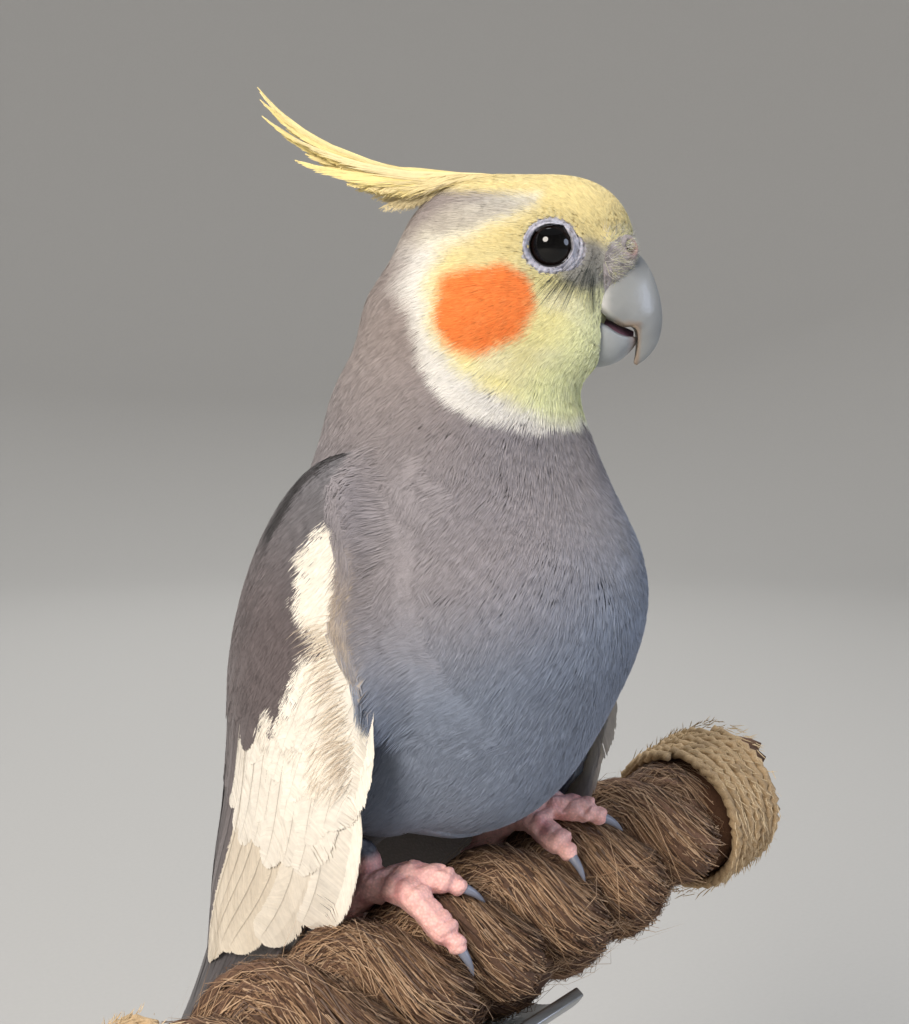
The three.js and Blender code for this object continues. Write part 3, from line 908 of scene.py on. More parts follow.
def mesh_of(shape: bmesh.types.BMesh, name: str) -> bpy.types.Mesh:
    """Turns a finished bmesh into a smooth-shaded mesh and frees it.

    Args:
        shape: the bmesh.
        name: the mesh's name.

    Returns:
        The mesh.
    """
    for face in shape.faces:
        face.smooth = True
    mesh = bpy.data.meshes.new(name)
    shape.to_mesh(mesh)
    shape.free()
    return mesh


def turned(profile: Sequence[tuple[float, float]], steps: int) -> bmesh.types.BMesh:
    """Spins a profile round Z.

    Args:
        profile: corners as radius and height in metres, from the axis or bore round to its start.
        steps: faces round it.

    Returns:
        The closed shape.
    """
    shape = bmesh.new()
    verts = [shape.verts.new((r, 0, z)) for r, z in profile]
    edges = [shape.edges.new(pair) for pair in zip(verts, verts[1:])]
    bmesh.ops.spin(
        shape, geom=verts + edges, cent=(0, 0, 0), axis=(0, 0, 1), angle=2 * math.pi,
        steps=steps, use_merge=True,
    )
    bmesh.ops.remove_doubles(shape, verts=shape.verts, dist=1e-5)
    bmesh.ops.recalc_face_normals(shape, faces=shape.faces)
    return shape


def paint(mesh: bpy.types.Mesh, tints: Array) -> None:
    """Stores linear colours on a mesh's points.

    Args:
        mesh: the mesh.
        tints: one colour for each point.
    """
    layer = mesh.color_attributes.new(name=TINT, type="FLOAT_COLOR", domain="POINT")
    colours = np.ones((len(mesh.vertices), 4), np.float32)
    colours[:, :3] = np.clip(tints, 0, 1)
    layer.data.foreach_set("color", colours.ravel())


def read(mesh: bpy.types.Mesh, what: str) -> Array:
    """The places ("co") or the normals ("normal") of a mesh's points, as Blender keeps them.

    Args:
        mesh: the mesh.
        what: "co" or "normal".

    Returns:
        One row for each point.
    """
    flat = np.zeros(len(mesh.vertices) * 3, np.float32)
    mesh.vertices.foreach_get(what, flat)
    return flat.reshape(-1, 3)


def points_of(mesh: bpy.types.Mesh) -> Array:
    """A mesh's points in millimetres."""
    return read(mesh, "co").astype(float) / MM


def dress(
    piece: bpy.types.Object, finish: Finish, slot: str, replaced: Iterable[str] = ()
) -> bpy.types.Object:
    """Gives a piece its material and its place in the model.

    Args:
        piece: the object.
        finish: its finish.
        slot: a material slot; not used.
        replaced: the solids that the piece stands for.

    Returns:
        The piece.
    """
    material = bpy.data.materials.get(finish.name) or finish.material()
    piece.data.materials.clear()
    piece.data.materials.append(material)
    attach(piece, "root")
    names = list(replaced)
    if names:
        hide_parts(*names)
    log.info("%s: %d faces", piece.name, len(piece.data.polygons))
    return piece


def strips(
    middle: Array, wide: Array, facing: Array, tints: Array, places: Optional[Array] = None
) -> Surface:
    """Thin strips that taper to a point.

    Args:
        middle: points along each strip, (strips, points, 3), the last being its tip.
        wide: half widths, (strips, points).
        facing: the way each strip's face looks, (strips, points, 3).
        tints: colours, (strips, points, 3).
        places: each strip's root on the root map, (strips, 2), or None.

    Returns:
        The strips as one surface.
    """
    count, steps = middle.shape[:2]
    run = unit(np.gradient(middle, axis=1))
    side = unit(np.cross(facing, run))[:, :-1]
    half = wide[:, :-1, None]
    left, right = middle[:, :-1] + side * half, middle[:, :-1] - side * half
    points = np.concatenate([np.stack([left, right], 2).reshape(count, -1, 3), middle[:, -1:]], 1)
    each = points.shape[1]
    starts = np.arange(count)[:, None] * each
    one = [[2 * k, 2 * k + 1, 2 * k + 3, 2 * k + 2] for k in range(steps - 2)]
    quads = (starts[:, :, None] + np.array(one)[None]).reshape(-1, 4)
    last = 2 * (steps - 2)
    triangles = starts + np.array([[last, last + 1, last + 2]])
    tint = np.concatenate([np.repeat(tints[:, :-1], 2, axis=1), tints[:, -1:]], 1)
    root = None
    if places is not None:
        t = np.linspace(-0.5, 0.5, steps)
        along = np.concatenate([np.repeat(t[:-1], 2), t[-1:]])
        across = np.concatenate([np.tile([-0.5, 0.5], steps - 1), [0]]) * 0.7
        offset = np.broadcast_to(np.stack([across, along], 1) * PATCH, (count, each, 2))
        root = np.broadcast_to(places[:, None], (count, each, 2))
        root = np.concatenate([root, offset], 2).reshape(-1, 4)
    return Surface(points.reshape(-1, 3), quads, triangles, tint.reshape(-1, 3), root)


def tubes(
    paths: Array, radii: Array, sides: int, tints: Array, guide: tuple[float, float, float]
) -> Surface:
    """Closed round tubes along paths.

    Args:
        paths: (tubes, points, 3).
        radii: (tubes, points), or (tubes, points, sides) for a shaped section.
        sides: corners of the section.
        tints: (tubes, points, 3).
        guide: a way that is never along the tubes.

    Returns:
        The tubes as one surface.
    """
    count, steps = paths.shape[:2]
    run = unit(np.gradient(paths, axis=1))
    first = unit(np.cross(np.broadcast_to(guide, run.shape), run))
    second = np.cross(run, first)
    angle = np.linspace(0, 2 * math.pi, sides, endpoint=False)
    reach = radii[..., None] if radii.ndim == 2 else radii
    reach = np.broadcast_to(reach, (count, steps, sides))[..., None]
    ring = (
        paths[:, :, None]
        + first[:, :, None] * np.cos(angle)[None, None, :, None] * reach
        + second[:, :, None] * np.sin(angle)[None, None, :, None] * reach
    )
    points = np.concatenate([ring.reshape(count, -1, 3), paths[:, :1], paths[:, -1:]], 1)
    each = points.shape[1]
    i, j = np.meshgrid(np.arange(steps - 1), np.arange(sides), indexing="ij")
    k = (j + 1) % sides
    one = np.stack([i * sides + j, i * sides + k, (i + 1) * sides + k, (i + 1) * sides + j], -1)
    j = np.arange(sides)
    k = (j + 1) % sides
    start = np.stack([np.full(sides, each - 2), k, j], 1)
    end = np.stack([np.full(sides, each - 1), j + (steps - 1) * sides, k + (steps - 1) * sides], 1)
    starts = (np.arange(count) * each)[:, None, None]
    tint = np.concatenate([np.repeat(tints, sides, axis=1), tints[:, :1], tints[:, -1:]], 1)
    return Surface(
        points.reshape(-1, 3),
        (starts + one.reshape(1, -1, 4)).reshape(-1, 4),
        (starts + np.concatenate([start, end])[None]).reshape(-1, 3),
        tint.reshape(-1, 3),
    )


def loft(rows: int, around: int, place: Callable[[Array, Array], Array]) -> bpy.types.Mesh:
    """A ball whose rows run along a shape and whose columns run round it.

    Args:
        rows: rows of faces along the shape.
        around: faces round it.
        place: gives points for places along from 0 to 1 and angles round the section.

    Returns:
        The mesh, in metres.
    """
    shape = bmesh.new()
    bmesh.ops.create_uvsphere(shape, u_segments=around, v_segments=rows, radius=1)
    co = np.array([v.co[:] for v in shape.verts])
    u = np.arccos(np.clip(-co[:, 2], -1, 1)) / math.pi
    points = place(u, np.arctan2(co[:, 1], co[:, 0])) * MM
    for vert, point in zip(shape.verts, points):
        vert.co = point
    bmesh.ops.recalc_face_normals(shape, faces=shape.faces)
    return mesh_of(shape, "loft")


def solid_tree(name: str) -> BVHTree:
    """A search tree of a solid's faces, in metres.

    Args:
        name: the solid's name.

    Returns:
        The tree.
    """
    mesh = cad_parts[name].data
    faces = [p.vertices[:] for p in mesh.polygons]
    return BVHTree.FromPolygons([v.co[:] for v in mesh.vertices], faces)


def copied(nodes: Iterable[str], grow: float) -> bpy.types.Object:
    """One new object from copies of solids, merged and grown.

    Args:
        nodes: the solids.
        grow: how far their faces move out, in millimetres.

    Returns:
        The object.
    """
    shape = bmesh.new()
    for name in nodes:
        part = bmesh.new()
        part.from_mesh(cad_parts[name].data)
        bmesh.ops.remove_doubles(part, verts=part.verts, dist=1e-6)
        part.normal_update()
        for vert in part.verts:
            vert.co += vert.normal * grow * MM
        piece = bpy.data.meshes.new("copy")
        part.to_mesh(piece)
        part.free()
        shape.from_mesh(piece)
        bpy.data.meshes.remove(piece)
    mesh = bpy.data.meshes.new("copies")
    shape.to_mesh(mesh)
    shape.free()
    mesh.materials.clear()
    return shown("copies", mesh)


def remeshed(source: bpy.types.Object, voxel: float, smooth: int) -> bpy.types.Mesh:
    """The source as one closed mesh of even faces.

    Args:
        source: an object, which is removed.
        voxel: size of a face in millimetres.
        smooth: rounds of smoothing.

    Returns:
        The new mesh.
    """
    remesh = source.modifiers.new("remesh", "REMESH")
    remesh.mode = "VOXEL"
    remesh.voxel_size = voxel * MM
    relax = source.modifiers.new("relax", "SMOOTH")
    relax.iterations = smooth
    relax.factor = 0.5
    graph = bpy.context.evaluated_depsgraph_get()
    mesh = bpy.data.meshes.new_from_object(source.evaluated_get(graph))
    bpy.data.objects.remove(source)
    return mesh


def slack_at(points: Array) -> Array:
    """How far the solids may stand off the plumage's form: more at the breast and belly."""
    low = ramp(-points[..., 2], -PERCH_TOP - 66, -PERCH_TOP - 58)
    return 1.2 + 4.0 * ramp(-points[..., 1], 3, 8) * low


def claw_ends(side: Side, number: int) -> tuple[Array, Array]:
    """Finds a claw's two ends.

    Args:
        side: the foot's side.
        number: the claw's number.

    Returns:
        The middle of its base, where it leaves its toe, and its tip.
    """
    co = points_of(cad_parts[f"claw_{side.word}_{number}"].data)
    toe = points_of(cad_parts[f"foot_{side.word}"].data)
    gap = np.linalg.norm(co[:, None] - toe[None], axis=2).min(1)
    base = co[gap < gap.min() + 0.9].mean(0)
    return base, co[np.linalg.norm(co - base, axis=1).argmax()]


# ---- Skin ----


def split(shape: bmesh.types.BMesh, near: Array, cuts: int) -> None:
    """Divides the faces whose corners are all near.

    Args:
        shape: the bmesh.
        near: whether each point is near.
        cuts: cuts across each edge.
    """
    chosen = {v for v, close in zip(shape.verts, near) if close}
    edges = [e for e in shape.edges if e.verts[0] in chosen and e.verts[1] in chosen]
    bmesh.ops.subdivide_edges(shape, edges=edges, cuts=cuts, use_grid_fill=True)


def bare_patch(f: Array, u: Array) -> Array:
    """Distance from the middle of the bare skin round the eye, 1 being its edge."""
    return np.hypot((f - 10.2) / 3.8, (u - 1.6) / 3.3)


@dataclass
class BodySkin:
    """One skin under all the flesh, from the nostrils to the toes."""

    voxel: float = 0.9
    foot_voxel: float = 0.3
    grow: float = 0.35
    foot_grow: float = 0.3
    lid: float = 2.85  # radius of the opening between the lids
    socket: float = 5.4  # radius that the lids and their folds reach
    toe_end: float = 1.62  # radius of the pad that the claw grows from
    scute: float = 1.7  # length of one scale over the toes

    @staticmethod
    def depth(points: Array) -> Array:
        """How deep the skin lies below the plumage's outer surface.

        Args:
            points: places in the row's frame, in millimetres.

        Returns:
            One depth for each point.
        """
        at = HEAD.inside(points)
        f, u = at[..., 0], at[..., 2]
        deep = 2.0 - 1.0 * ramp(u, -26, -14) - 0.4 * ramp(f, 3, 12) * ramp(u, -16, -8)
        bare = ramp(-bare_patch(f, u), -1.2, -0.8) * 0.75
        cere = ramp(f, 14.6, 16.4) * ramp(-u, -5.2, -3.8) * ramp(u, -6.8, -5.2)
        return deep * (1 - np.maximum(bare, cere))

    def eye_sockets(self, at: Array, deep: Array) -> Array:
        """Shapes the lids and the bare ring round both eyes.

        Args:
            at: the skin's places, forward, left and up.
            deep: how deep each lies below the plumage.

        Returns:
            The new places.
        """
        f, u = at[:, 0] - EYE_AT[0], at[:, 2] - EYE_AT[2]
        r = np.hypot(f * 0.97, u * 1.03)
        angle = np.arctan2(u, f)
        rim_r, rim_out = [0, 2.5, 2.75, self.lid, 3.05, 3.3, 3.6], [7.5, 7.6, 8.5, 8.95, 9.25, 9.3, 9.1]
        fold_r = [3.2, 3.45, 3.7, 4.0, 4.25, 4.6, self.socket]
        fold_out = [-0.2, -0.42, -0.16, -0.4, -0.22, -0.4, 0]
        crease = 0.05 * np.sin(angle * 31) * ramp(r, 3.0, 3.5) * ramp(-r, -5, -4)
        open_side = np.abs(at[:, 1]) + deep * ramp(-r, -self.socket, -4.2)
        folded = (open_side + np.interp(r, fold_r, fold_out) + crease)[:, None]
        level = mixed(np.interp(r, rim_r, rim_out)[:, None], folded, ramp(r, 3.0, 3.5))[:, 0]
        share = ramp(-r, -self.socket, -4.6) * (np.abs(at[:, 1]) > 4)
        out = at.copy()
        out[:, 1] = mixed(at[:, 1:2], (np.sign(at[:, 1]) * level)[:, None], share)[:, 0]
        return out

    @staticmethod
    def nostrils(at: Array) -> Array:
        """Sinks the two nostrils into the cere.

        Args:
            at: the skin's places, forward, left and up.

        Returns:
            The new places.
        """
        out = at.copy()
        for side in Side:
            way = np.array([0.45, 0.8 * side.value, 0.35])
            gap = at - np.array(NOSTRIL_AT) * [1, side.value, 1]
            r = np.linalg.norm(gap - (gap @ unit(way))[:, None] * unit(way), axis=1)
            near = (np.linalg.norm(gap, axis=1) < 3) * ramp(-r, -1.0, -0.55)
            rim = (np.linalg.norm(gap, axis=1) < 3) * np.exp(-(((r - 1.3) / 0.35) ** 2))
            out += unit(way) * (0.3 * rim - 1.5 * near)[:, None]
        return out

    def body_mesh(self) -> bpy.types.Mesh:
        """The skin of the head, body and wings."""
        names = ("head", "neck", "trunk", "cere", "wing_right", "wing_left")
        mesh = remeshed(copied(names, self.grow), self.voxel, 2)
        shape = bmesh.new()
        shape.from_mesh(mesh)
        co = np.array([v.co[:] for v in shape.verts]) / MM
        at = HEAD.inside(co)
        split(shape, (at[:, 0] > 2.5) & (at[:, 2] > -16) & (PLUMAGE.distance(co) > -4), 1)
        rings = HEAD.inside(np.array([v.co[:] for v in shape.verts]) / MM) - [EYE_AT[0], 0, EYE_AT[2]]
        split(shape, (np.hypot(rings[:, 0], rings[:, 2]) < self.socket) & (np.abs(rings[:, 1]) > 5), 2)
        shape.normal_update()
        co = np.array([v.co[:] for v in shape.verts]) / MM
        normal = np.array([v.normal[:] for v in shape.verts])
        at = HEAD.inside(co)
        on_head, deep = at[:, 2] > NECK_BELOW, self.depth(co)
        on_face = on_head & (at[:, 0] > 11.5)
        inward = co - normal * (self.grow + deep)[:, None]
        spare = slack_at(co) - PLUMAGE.distance(co)
        settled = PLUMAGE.settle(co, -deep, PLUMAGE.normal(co))
        co_new = mixed(inward, settled, ramp(spare, 0, 0.6) * ~on_face)
        face = co[on_face]
        co_new[on_face] = FACE.settle(face, -self.depth(face), FACE.normal(face), 3)
        at = HEAD.inside(co_new)
        shaped = HEAD.outside(self.nostrils(self.eye_sockets(at, deep)))
        co_new = np.where((on_head & (at[:, 0] > 0))[:, None], shaped, co_new)
        for vert, point in zip(shape.verts, co_new * MM):
            vert.co = point
        rest = [v for v, head in zip(shape.verts, on_head) if not head]
        bmesh.ops.smooth_vert(
            shape, verts=rest, factor=0.5, use_axis_x=True, use_axis_y=True, use_axis_z=True
        )
        shape.to_mesh(mesh)
        shape.free()
        return mesh

    def foot_mesh(self, side: Side) -> bpy.types.Mesh:
        """The scaled skin of one leg and foot.

        Args:
            side: the foot's side.

        Returns:
            The mesh, in metres.
        """
        source = copied((f"leg_{side.word}", f"foot_{side.word}"), self.foot_grow)
        shape = bmesh.new()
        shape.from_mesh(source.data)
        for number in range(1, 5):
            base, tip = claw_ends(side, number)
            pad = (base + 0.2 * (tip - base) / np.linalg.norm(tip - base)) * MM
            matrix = Matrix.Translation(Vector(pad))
            bmesh.ops.create_icosphere(shape, subdivisions=2, radius=self.toe_end * MM, matrix=matrix)
        shape.to_mesh(source.data)
        shape.free()
        mesh = remeshed(source, self.foot_voxel, 16)
        co, normal = points_of(mesh), read(mesh, "normal")
        high = co[:, 2] - ROPE.axis(co[:, 0])
        round_rope = np.arctan2(-co[:, 1], high) * ROPE.half
        scute = np.abs(np.sin(math.pi * (round_rope + 0.3 * waves(co, 3.0, 21)) / self.scute)) ** 0.5
        outer = ramp((normal * unit(np.stack([co[:, 0] * 0, co[:, 1], high], 1))).sum(1), 0.0, 0.6)
        pebbles = waves(co, 0.5, 22)
        co = co + normal * (0.42 * (scute - 0.7) * outer + 0.07 * pebbles)[:, None]
        mesh.vertices.foreach_set("co", (co * MM).astype(np.float32).ravel())
        return mesh

    @staticmethod
    def tints(co: Array, foot: Array) -> Array:
        """The skin's colours: the coat's markings, paler bare skin on the face, painted shade in the
        nostrils, and pink feet.

        Args:
            co: the skin's points, in millimetres.
            foot: whether each point is on a leg or foot.

        Returns:
            One linear colour for each point.
        """
        colour = MARKS.body(co) * 0.95
        at = HEAD.inside(co)
        r = np.hypot(at[:, 0] - EYE_AT[0], at[:, 2] - EYE_AT[2])
        front = (at[:, 0] > 0) & (np.abs(at[:, 1]) > 5)
        speck = ramp(waves(co, 0.36, 31), 0.3, 0.9)
        ring = blend("#c3c2cf", "#5c5b66", speck * 0.75)
        dots = ramp(-np.abs(r - 3.95), -0.2, -0.05) * ramp(waves(co, 0.5, 32), -0.4, 0.4)
        ring = mixed(ring, linear("#3f3d40"), dots * 0.8)
        ring = mixed(ring, linear("#262426"), ramp(-r, -3.1, -2.92))
        bare = np.minimum(r / 4.6, bare_patch(at[:, 0], at[:, 2]))
        colour = mixed(colour, ring, ramp(-bare, -1.12, -0.85) * front)
        cere = blend("#aba3a3", "#7f7978", ramp(waves(co, 0.9, 33), -0.2, 1))
        on_cere = ramp(at[:, 0], 14.4, 16.2) * ramp(at[:, 2], -8, -5) * ramp(-at[:, 2], -6, -4)
        colour = mixed(colour, cere, on_cere)
        # Each nostril gets a paler rim and painted shade down inside its hole.
        for side in Side:
            hole = np.linalg.norm(at - np.array(NOSTRIL_AT) * [1, side.value, 1], axis=1)
            colour = mixed(colour, linear("#b08f86"), ramp(-hole, -2.0, -1.3))
            colour = mixed(colour, linear("#4a1c16"), ramp(-hole, -1.45, -1.05))
        pink = blend("#ffc8c0", "#e6a5a3", ramp(waves(co, 2.2, 35), 0.1, 1.2))
        low = ramp(-(co[:, 2] - PERCH_TOP), -9.5, -7.5) * ramp(-ROPE.distance(co), -21.0, -19.2)
        return mixed(colour, pink, low * foot)

    def build(self) -> bpy.types.Object:
        """Builds the skin as one piece."""
        shape, ends = bmesh.new(), []
        for mesh in (self.body_mesh(), self.foot_mesh(Side.RIGHT), self.foot_mesh(Side.LEFT)):
            shape.from_mesh(mesh)
            ends.append(len(shape.verts))
            bpy.data.meshes.remove(mesh)
        mesh = mesh_of(shape, "skin")
        co = points_of(mesh)
        foot = np.arange(len(co)) >= ends[0]
        # Painted shade: the skin on the wings' inner sides, facing the body above the perch, is
        # darkened.
        inner = (PLUMAGE.distance(co) > 1.0) & (read(mesh, "normal")[:, 0] * np.sign(co[:, 0]) < -0.15)
        inner &= (np.abs(co[:, 0]) > 12) & (co[:, 2] > PERCH_TOP + 3)
        inner &= (HEAD.inside(co)[:, 2] < NECK_BELOW) & (ROPE.distance(co) > 24)
        paint(mesh, mixed(self.tints(co, foot), linear("#353132"), inner * 0.85))
        flesh = ["head", "neck", "trunk", "cere", "wing_right", "wing_left"]
        flesh += [f"{part}_{side.word}" for part in ("leg", "foot") for side in Side]
        return dress(shown("skin", mesh), Skin("pebbled_skin", 0.5, 1.45, bump=0.16), "bare_skin", flesh)


# ---- Rope ----


WHIPPING_FROM = 5.0
WHIPPING_LENGTH = 15.0


@dataclass(frozen=True)
class Rope:
    """The perch: three strands of coir plaited about a rising axis, drawn in at both ends."""

    left: float = 74
    right: float = -76
    slope: float = 0.12
    bend: float = 0.0004
    strand: float = 6.3
    wide: float = 7.3
    deep: float = 5.4
    tilt: float = math.radians(40)
    pitch: float = 46
    phase: float = 0.35
    squeezed: float = 0.62
    half: float = 12.9
    yarns: int = 9
    yarn: float = 1.85
    twist: float = 34  # length in which a strand's yarns go once round it
    core: float = 3.2
    bound: float = 10.9  # radius of the rope inside a binding
    upright: tuple[float, float, float] = (0, 0.3, 1.0)  # a way that is never along the rope
    coir: tuple[str, ...] = ("#9c7d60", "#80624a", "#b7997b", "#5f4636", "#746053", "#493529")

    def axis(self, x: Array) -> Array:
        """Height of the rope's axis at x."""
        return PERCH_TOP - self.half + self.slope * x + self.bend * x * x

    def distance(self, points: Array) -> Array:
        """Distance from the rope's axis."""
        return np.hypot(points[..., 1], points[..., 2] - self.axis(points[..., 0]))

    def fit(self, x: Array) -> Array:
        """How far the strands are drawn in towards the bindings at the ends."""
        inside = ramp(np.minimum(x - self.right, self.left - x), 20, 28)
        return self.squeezed + (1 - self.squeezed) * inside

    def squeeze(self, x: Array) -> Array:
        """How far a strand's own yarns are drawn together at x."""
        return 0.94 + 0.06 * (self.fit(x) - self.squeezed) / (1 - self.squeezed)

    def strand_at(self, index: Array, x: Array) -> Array:
        """A point on the middle of a strand.

        Args:
            index: the strand's number.
            x: where along the rope.

        Returns:
            One place for each x.
        """
        t = 2 * math.pi * (x / self.pitch + self.phase + index / 3)
        fit = self.fit(x)
        s, c = math.sin(self.tilt), math.cos(self.tilt)
        wide, deep = fit * self.wide * np.sin(t), fit * self.deep * np.sin(2 * t)
        return np.stack([x, -s * wide + c * deep, self.axis(x) + c * wide + s * deep], -1)

    def around(self, index: Array, x: Array, angle: Array, out: Array) -> tuple[Array, Array]:
        """Points round a strand.

        Args:
            index: the strand's number.
            x: where along the rope.
            angle: the angle round the strand's middle.
            out: the distance from its middle.

        Returns:
            The points, and the way out of the strand at each.
        """
        middle = self.strand_at(index, x)
        run = unit(self.strand_at(index, x + 0.3) - self.strand_at(index, x - 0.3))
        first = unit(np.cross(np.broadcast_to([0, 0, 1.0], run.shape), run))
        second = np.cross(run, first)
        way = first * np.cos(angle)[..., None] + second * np.sin(angle)[..., None]
        return middle + way * np.asarray(out)[..., None], way

    def yarn_surface(self) -> Surface:
        """The yarns, twisted round each strand, with a plain core inside."""
        x = np.arange(self.right + 0.6, self.left - 0.5, 1.0)
        sides = 10
        parts = []
        for strand in range(3):
            j = np.arange(self.yarns)[:, None]
            xs = np.broadcast_to(x, (self.yarns, len(x)))
            angle = 2 * math.pi * (j / self.yarns + xs / self.twist) + strand
            squeeze = self.squeeze(xs)
            wobble = 0.25 * waves(np.stack([xs, j * 9.0 + xs * 0, xs * 0 + strand * 31], -1), 6, 41)
            out = (self.strand - self.yarn) * squeeze + wobble
            paths, _ = self.around(np.full(xs.shape, strand), xs, angle, out)
            turn = np.linspace(0, 2 * math.pi, sides, endpoint=False)
            ridges = 1 + 0.09 * np.sin(3 * turn[None, None] + xs[..., None] * 0.9 + j[..., None])
            radii = self.yarn * squeeze[..., None] * ridges
            shade = np.random.default_rng(50 + strand).uniform(0.6, 1.05, self.yarns)
            tints = linear("#705544") * shade[:, None, None] * np.ones(xs.shape + (1,))
            tints = tints * (1 + 0.25 * waves(paths, 5, 43))[..., None]
            parts.append(tubes(paths, radii, sides, tints, self.upright))
        for end, inward in ((self.left, -1), (self.right, 1)):
            first, last = WHIPPING_FROM - 1, WHIPPING_FROM + WHIPPING_LENGTH + 1
            along = end + inward * np.linspace(first, last, 12)
            path = np.stack([along, along * 0, self.axis(along)], -1)[None]
            thick = self.bound * np.sqrt(1 - np.abs(np.linspace(-1, 1, 12)) ** 6 * 0.6)[None]
            parts.append(tubes(path, thick, 40, linear("#4f3524") * np.ones(path.shape), self.upright))
        core = self.strand_at(np.arange(3)[:, None], np.broadcast_to(x, (3, len(x))))
        shade = np.broadcast_to(linear("#3a2415"), core.shape)
        parts.append(tubes(core, np.full(core.shape[:2], self.core), 8, shade, self.upright))
        return Surface.joined(parts)

    def fibre_surface(self, count: int, loose: int) -> Surface:
        """Single fibres: most lie along the yarns, and some stand off in curls.

        Args:
            count: fibres that lie close.
            loose: fibres that stand off.

        Returns:
            The fibres.
        """
        rng = np.random.default_rng(44)
        total, steps = count + loose, 5
        free = np.arange(total) >= count
        length = np.where(free, rng.uniform(7, 20, total), rng.uniform(8, 18, total))
        strand = rng.integers(0, 3, total)
        x0 = rng.uniform(self.right + 1, self.left - 3, total)
        t = np.linspace(0, 1, steps)
        lay = rng.normal(0, 0.12, total) + np.where(free, rng.normal(0, 0.8, total), 0)
        run = length * np.where(free, rng.uniform(0.3, 0.9, total), 0.85)
        x = np.clip(x0[:, None] + run[:, None] * t, self.right + 0.2, self.left - 0.2)
        angle = rng.uniform(0, 2 * math.pi, total)[:, None]
        angle = angle + 2 * math.pi * (x - x0[:, None]) / self.twist + (lay[:, None] * t) * 1.2
        close = rng.uniform(-0.25, 0.45, total)[:, None] + 0.25 * np.sin(t * 9 + angle)
        off = rng.uniform(0.8, 4.2, total)[:, None] * t**1.5
        off = off + 0.6 * np.sin(t * rng.uniform(3, 9, total)[:, None])
        out = self.strand * self.squeeze(x) + np.where(free[:, None], np.maximum(off, 0) + 0.2, close)
        points, way = self.around(np.broadcast_to(strand[:, None], x.shape), x, angle, out)
        ends = np.minimum(x[:, 0] - self.right, self.left - x[:, 0])
        keep = ~((ends > WHIPPING_FROM - 4) & (ends < WHIPPING_FROM + WHIPPING_LENGTH + 1))
        wide = np.where(free, 0.07, rng.uniform(0.06, 0.15, total))[:, None] * (1 - 0.5 * t)
        base = np.array([linear(code) for code in self.coir])
        pick = rng.choice(len(base), total, p=[0.26, 0.22, 0.18, 0.14, 0.12, 0.08])
        pick = np.where(free, rng.choice([0, 2, 2], total), pick)
        tints = base[pick][:, None] * np.linspace(0.85, 1.1, steps)[None, :, None]
        return strips(points[keep], wide[keep], way[keep], tints[keep])

    def build(self) -> None:
        """Builds the rope's yarns and fibres."""
        finish = Fibre("coir", 0.85, 1.5, bump=0.12, grain=0.35)
        dress(self.yarn_surface().made("perch_yarns"), finish, "rope", ["perch_rope"])
        dress(self.fibre_surface(25000, 1500).made("perch_fibres", smooth=False), finish, "rope")


ROPE = Rope()


@dataclass(frozen=True)
class Whipping:
    """A binding of two-ply jute twine round one end of the rope."""

    side: Side
    turns: int = 7
    coil: float = 12.2
    ply: float = 0.74
    lay: float = 4.2  # length in which the two plies go once round each other
    hairs: int = 700

    @property
    def end(self) -> float:
        """Where the rope ends beside this binding."""
        return ROPE.left if self.side is Side.LEFT else ROPE.right

    def build(self) -> bpy.types.Object:
        """Builds the turns of twine."""
        steps = self.turns * 44
        t = np.linspace(0, 1, steps)
        x = self.end - self.side.value * (WHIPPING_FROM + 0.9 + (WHIPPING_LENGTH - 1.8) * t)
        x = x + 0.12 * waves(np.stack([x, t * 90, t * 0], -1), 6, 61)
        round_rope = 2 * math.pi * self.turns * t
        slope = math.atan(ROPE.slope + 2 * ROPE.bend * self.end)
        s, c = np.sin(round_rope), np.cos(round_rope)
        way = np.stack([-np.sin(slope) * c, -s, c], -1)
        parts = []
        for ply in range(2):
            twist = 2 * math.pi * (self.turns * t * 2 * math.pi * self.coil / self.lay + ply / 2)
            path = np.stack([x, t * 0, ROPE.axis(x)], -1)
            path = path + way * (self.coil + 0.5 * np.cos(twist))[:, None]
            path[:, 0] += 0.5 * np.sin(twist)
            tint = linear("#b39a78") * (1 + 0.22 * waves(path, 2.2, 62 + ply))[:, None]
            radii = np.full((1, steps), self.ply) * (1 + 0.08 * waves(path, 1.2, 66))[None]
            parts.append(tubes(path[None], radii, 7, tint[None], (1.0, 0.05, 0)))
        parts.append(self.fuzz())
        piece = Surface.joined(parts).made(f"twine_{self.side.word}")
        name = f"perch_whipping_{self.side.word}"
        return dress(piece, Fibre("jute", 0.9, 1.5, bump=0.08, grain=0.3), "twine", [name])

    def fuzz(self) -> Surface:
        """Short fibres that stand off the twine."""
        rng = np.random.default_rng(70 + self.side.value)
        count, first = self.hairs, WHIPPING_FROM + 0.5
        x = self.end - self.side.value * rng.uniform(first, first + WHIPPING_LENGTH - 1, count)
        start = rng.uniform(0, 2 * math.pi, count)
        t = np.linspace(0, 1, 4)
        angle = start[:, None] + rng.uniform(0.05, 0.2, count)[:, None] * t
        out = self.coil + 1.0 + rng.uniform(0, 1.5, count)[:, None] * t**1.4
        xs = x[:, None] + rng.normal(0, 0.7, count)[:, None] * t
        way = np.stack([xs * 0, -np.sin(angle), np.cos(angle)], -1)
        points = np.stack([xs, xs * 0, ROPE.axis(xs)], -1) + way * out[..., None]
        tints = np.broadcast_to(linear("#c9b594"), points.shape)
        return strips(points, np.full(xs.shape, 0.07), np.roll(way, 1, axis=2), tints)


# ---- Plumage ----


@dataclass(frozen=True)
class Tuft:
    """A kind of small contour feather, seen as a fan of barbs."""

    density: float  # feathers for each square millimetre
    length: float
    spread: float  # half width at the tip
    barbs: int
    barb: float  # half width of one barb
    lift: float = 0.12  # how far the tips stand over the plumage's surface
    rough: float = 0.12  # how much each feather's lie strays, in radians


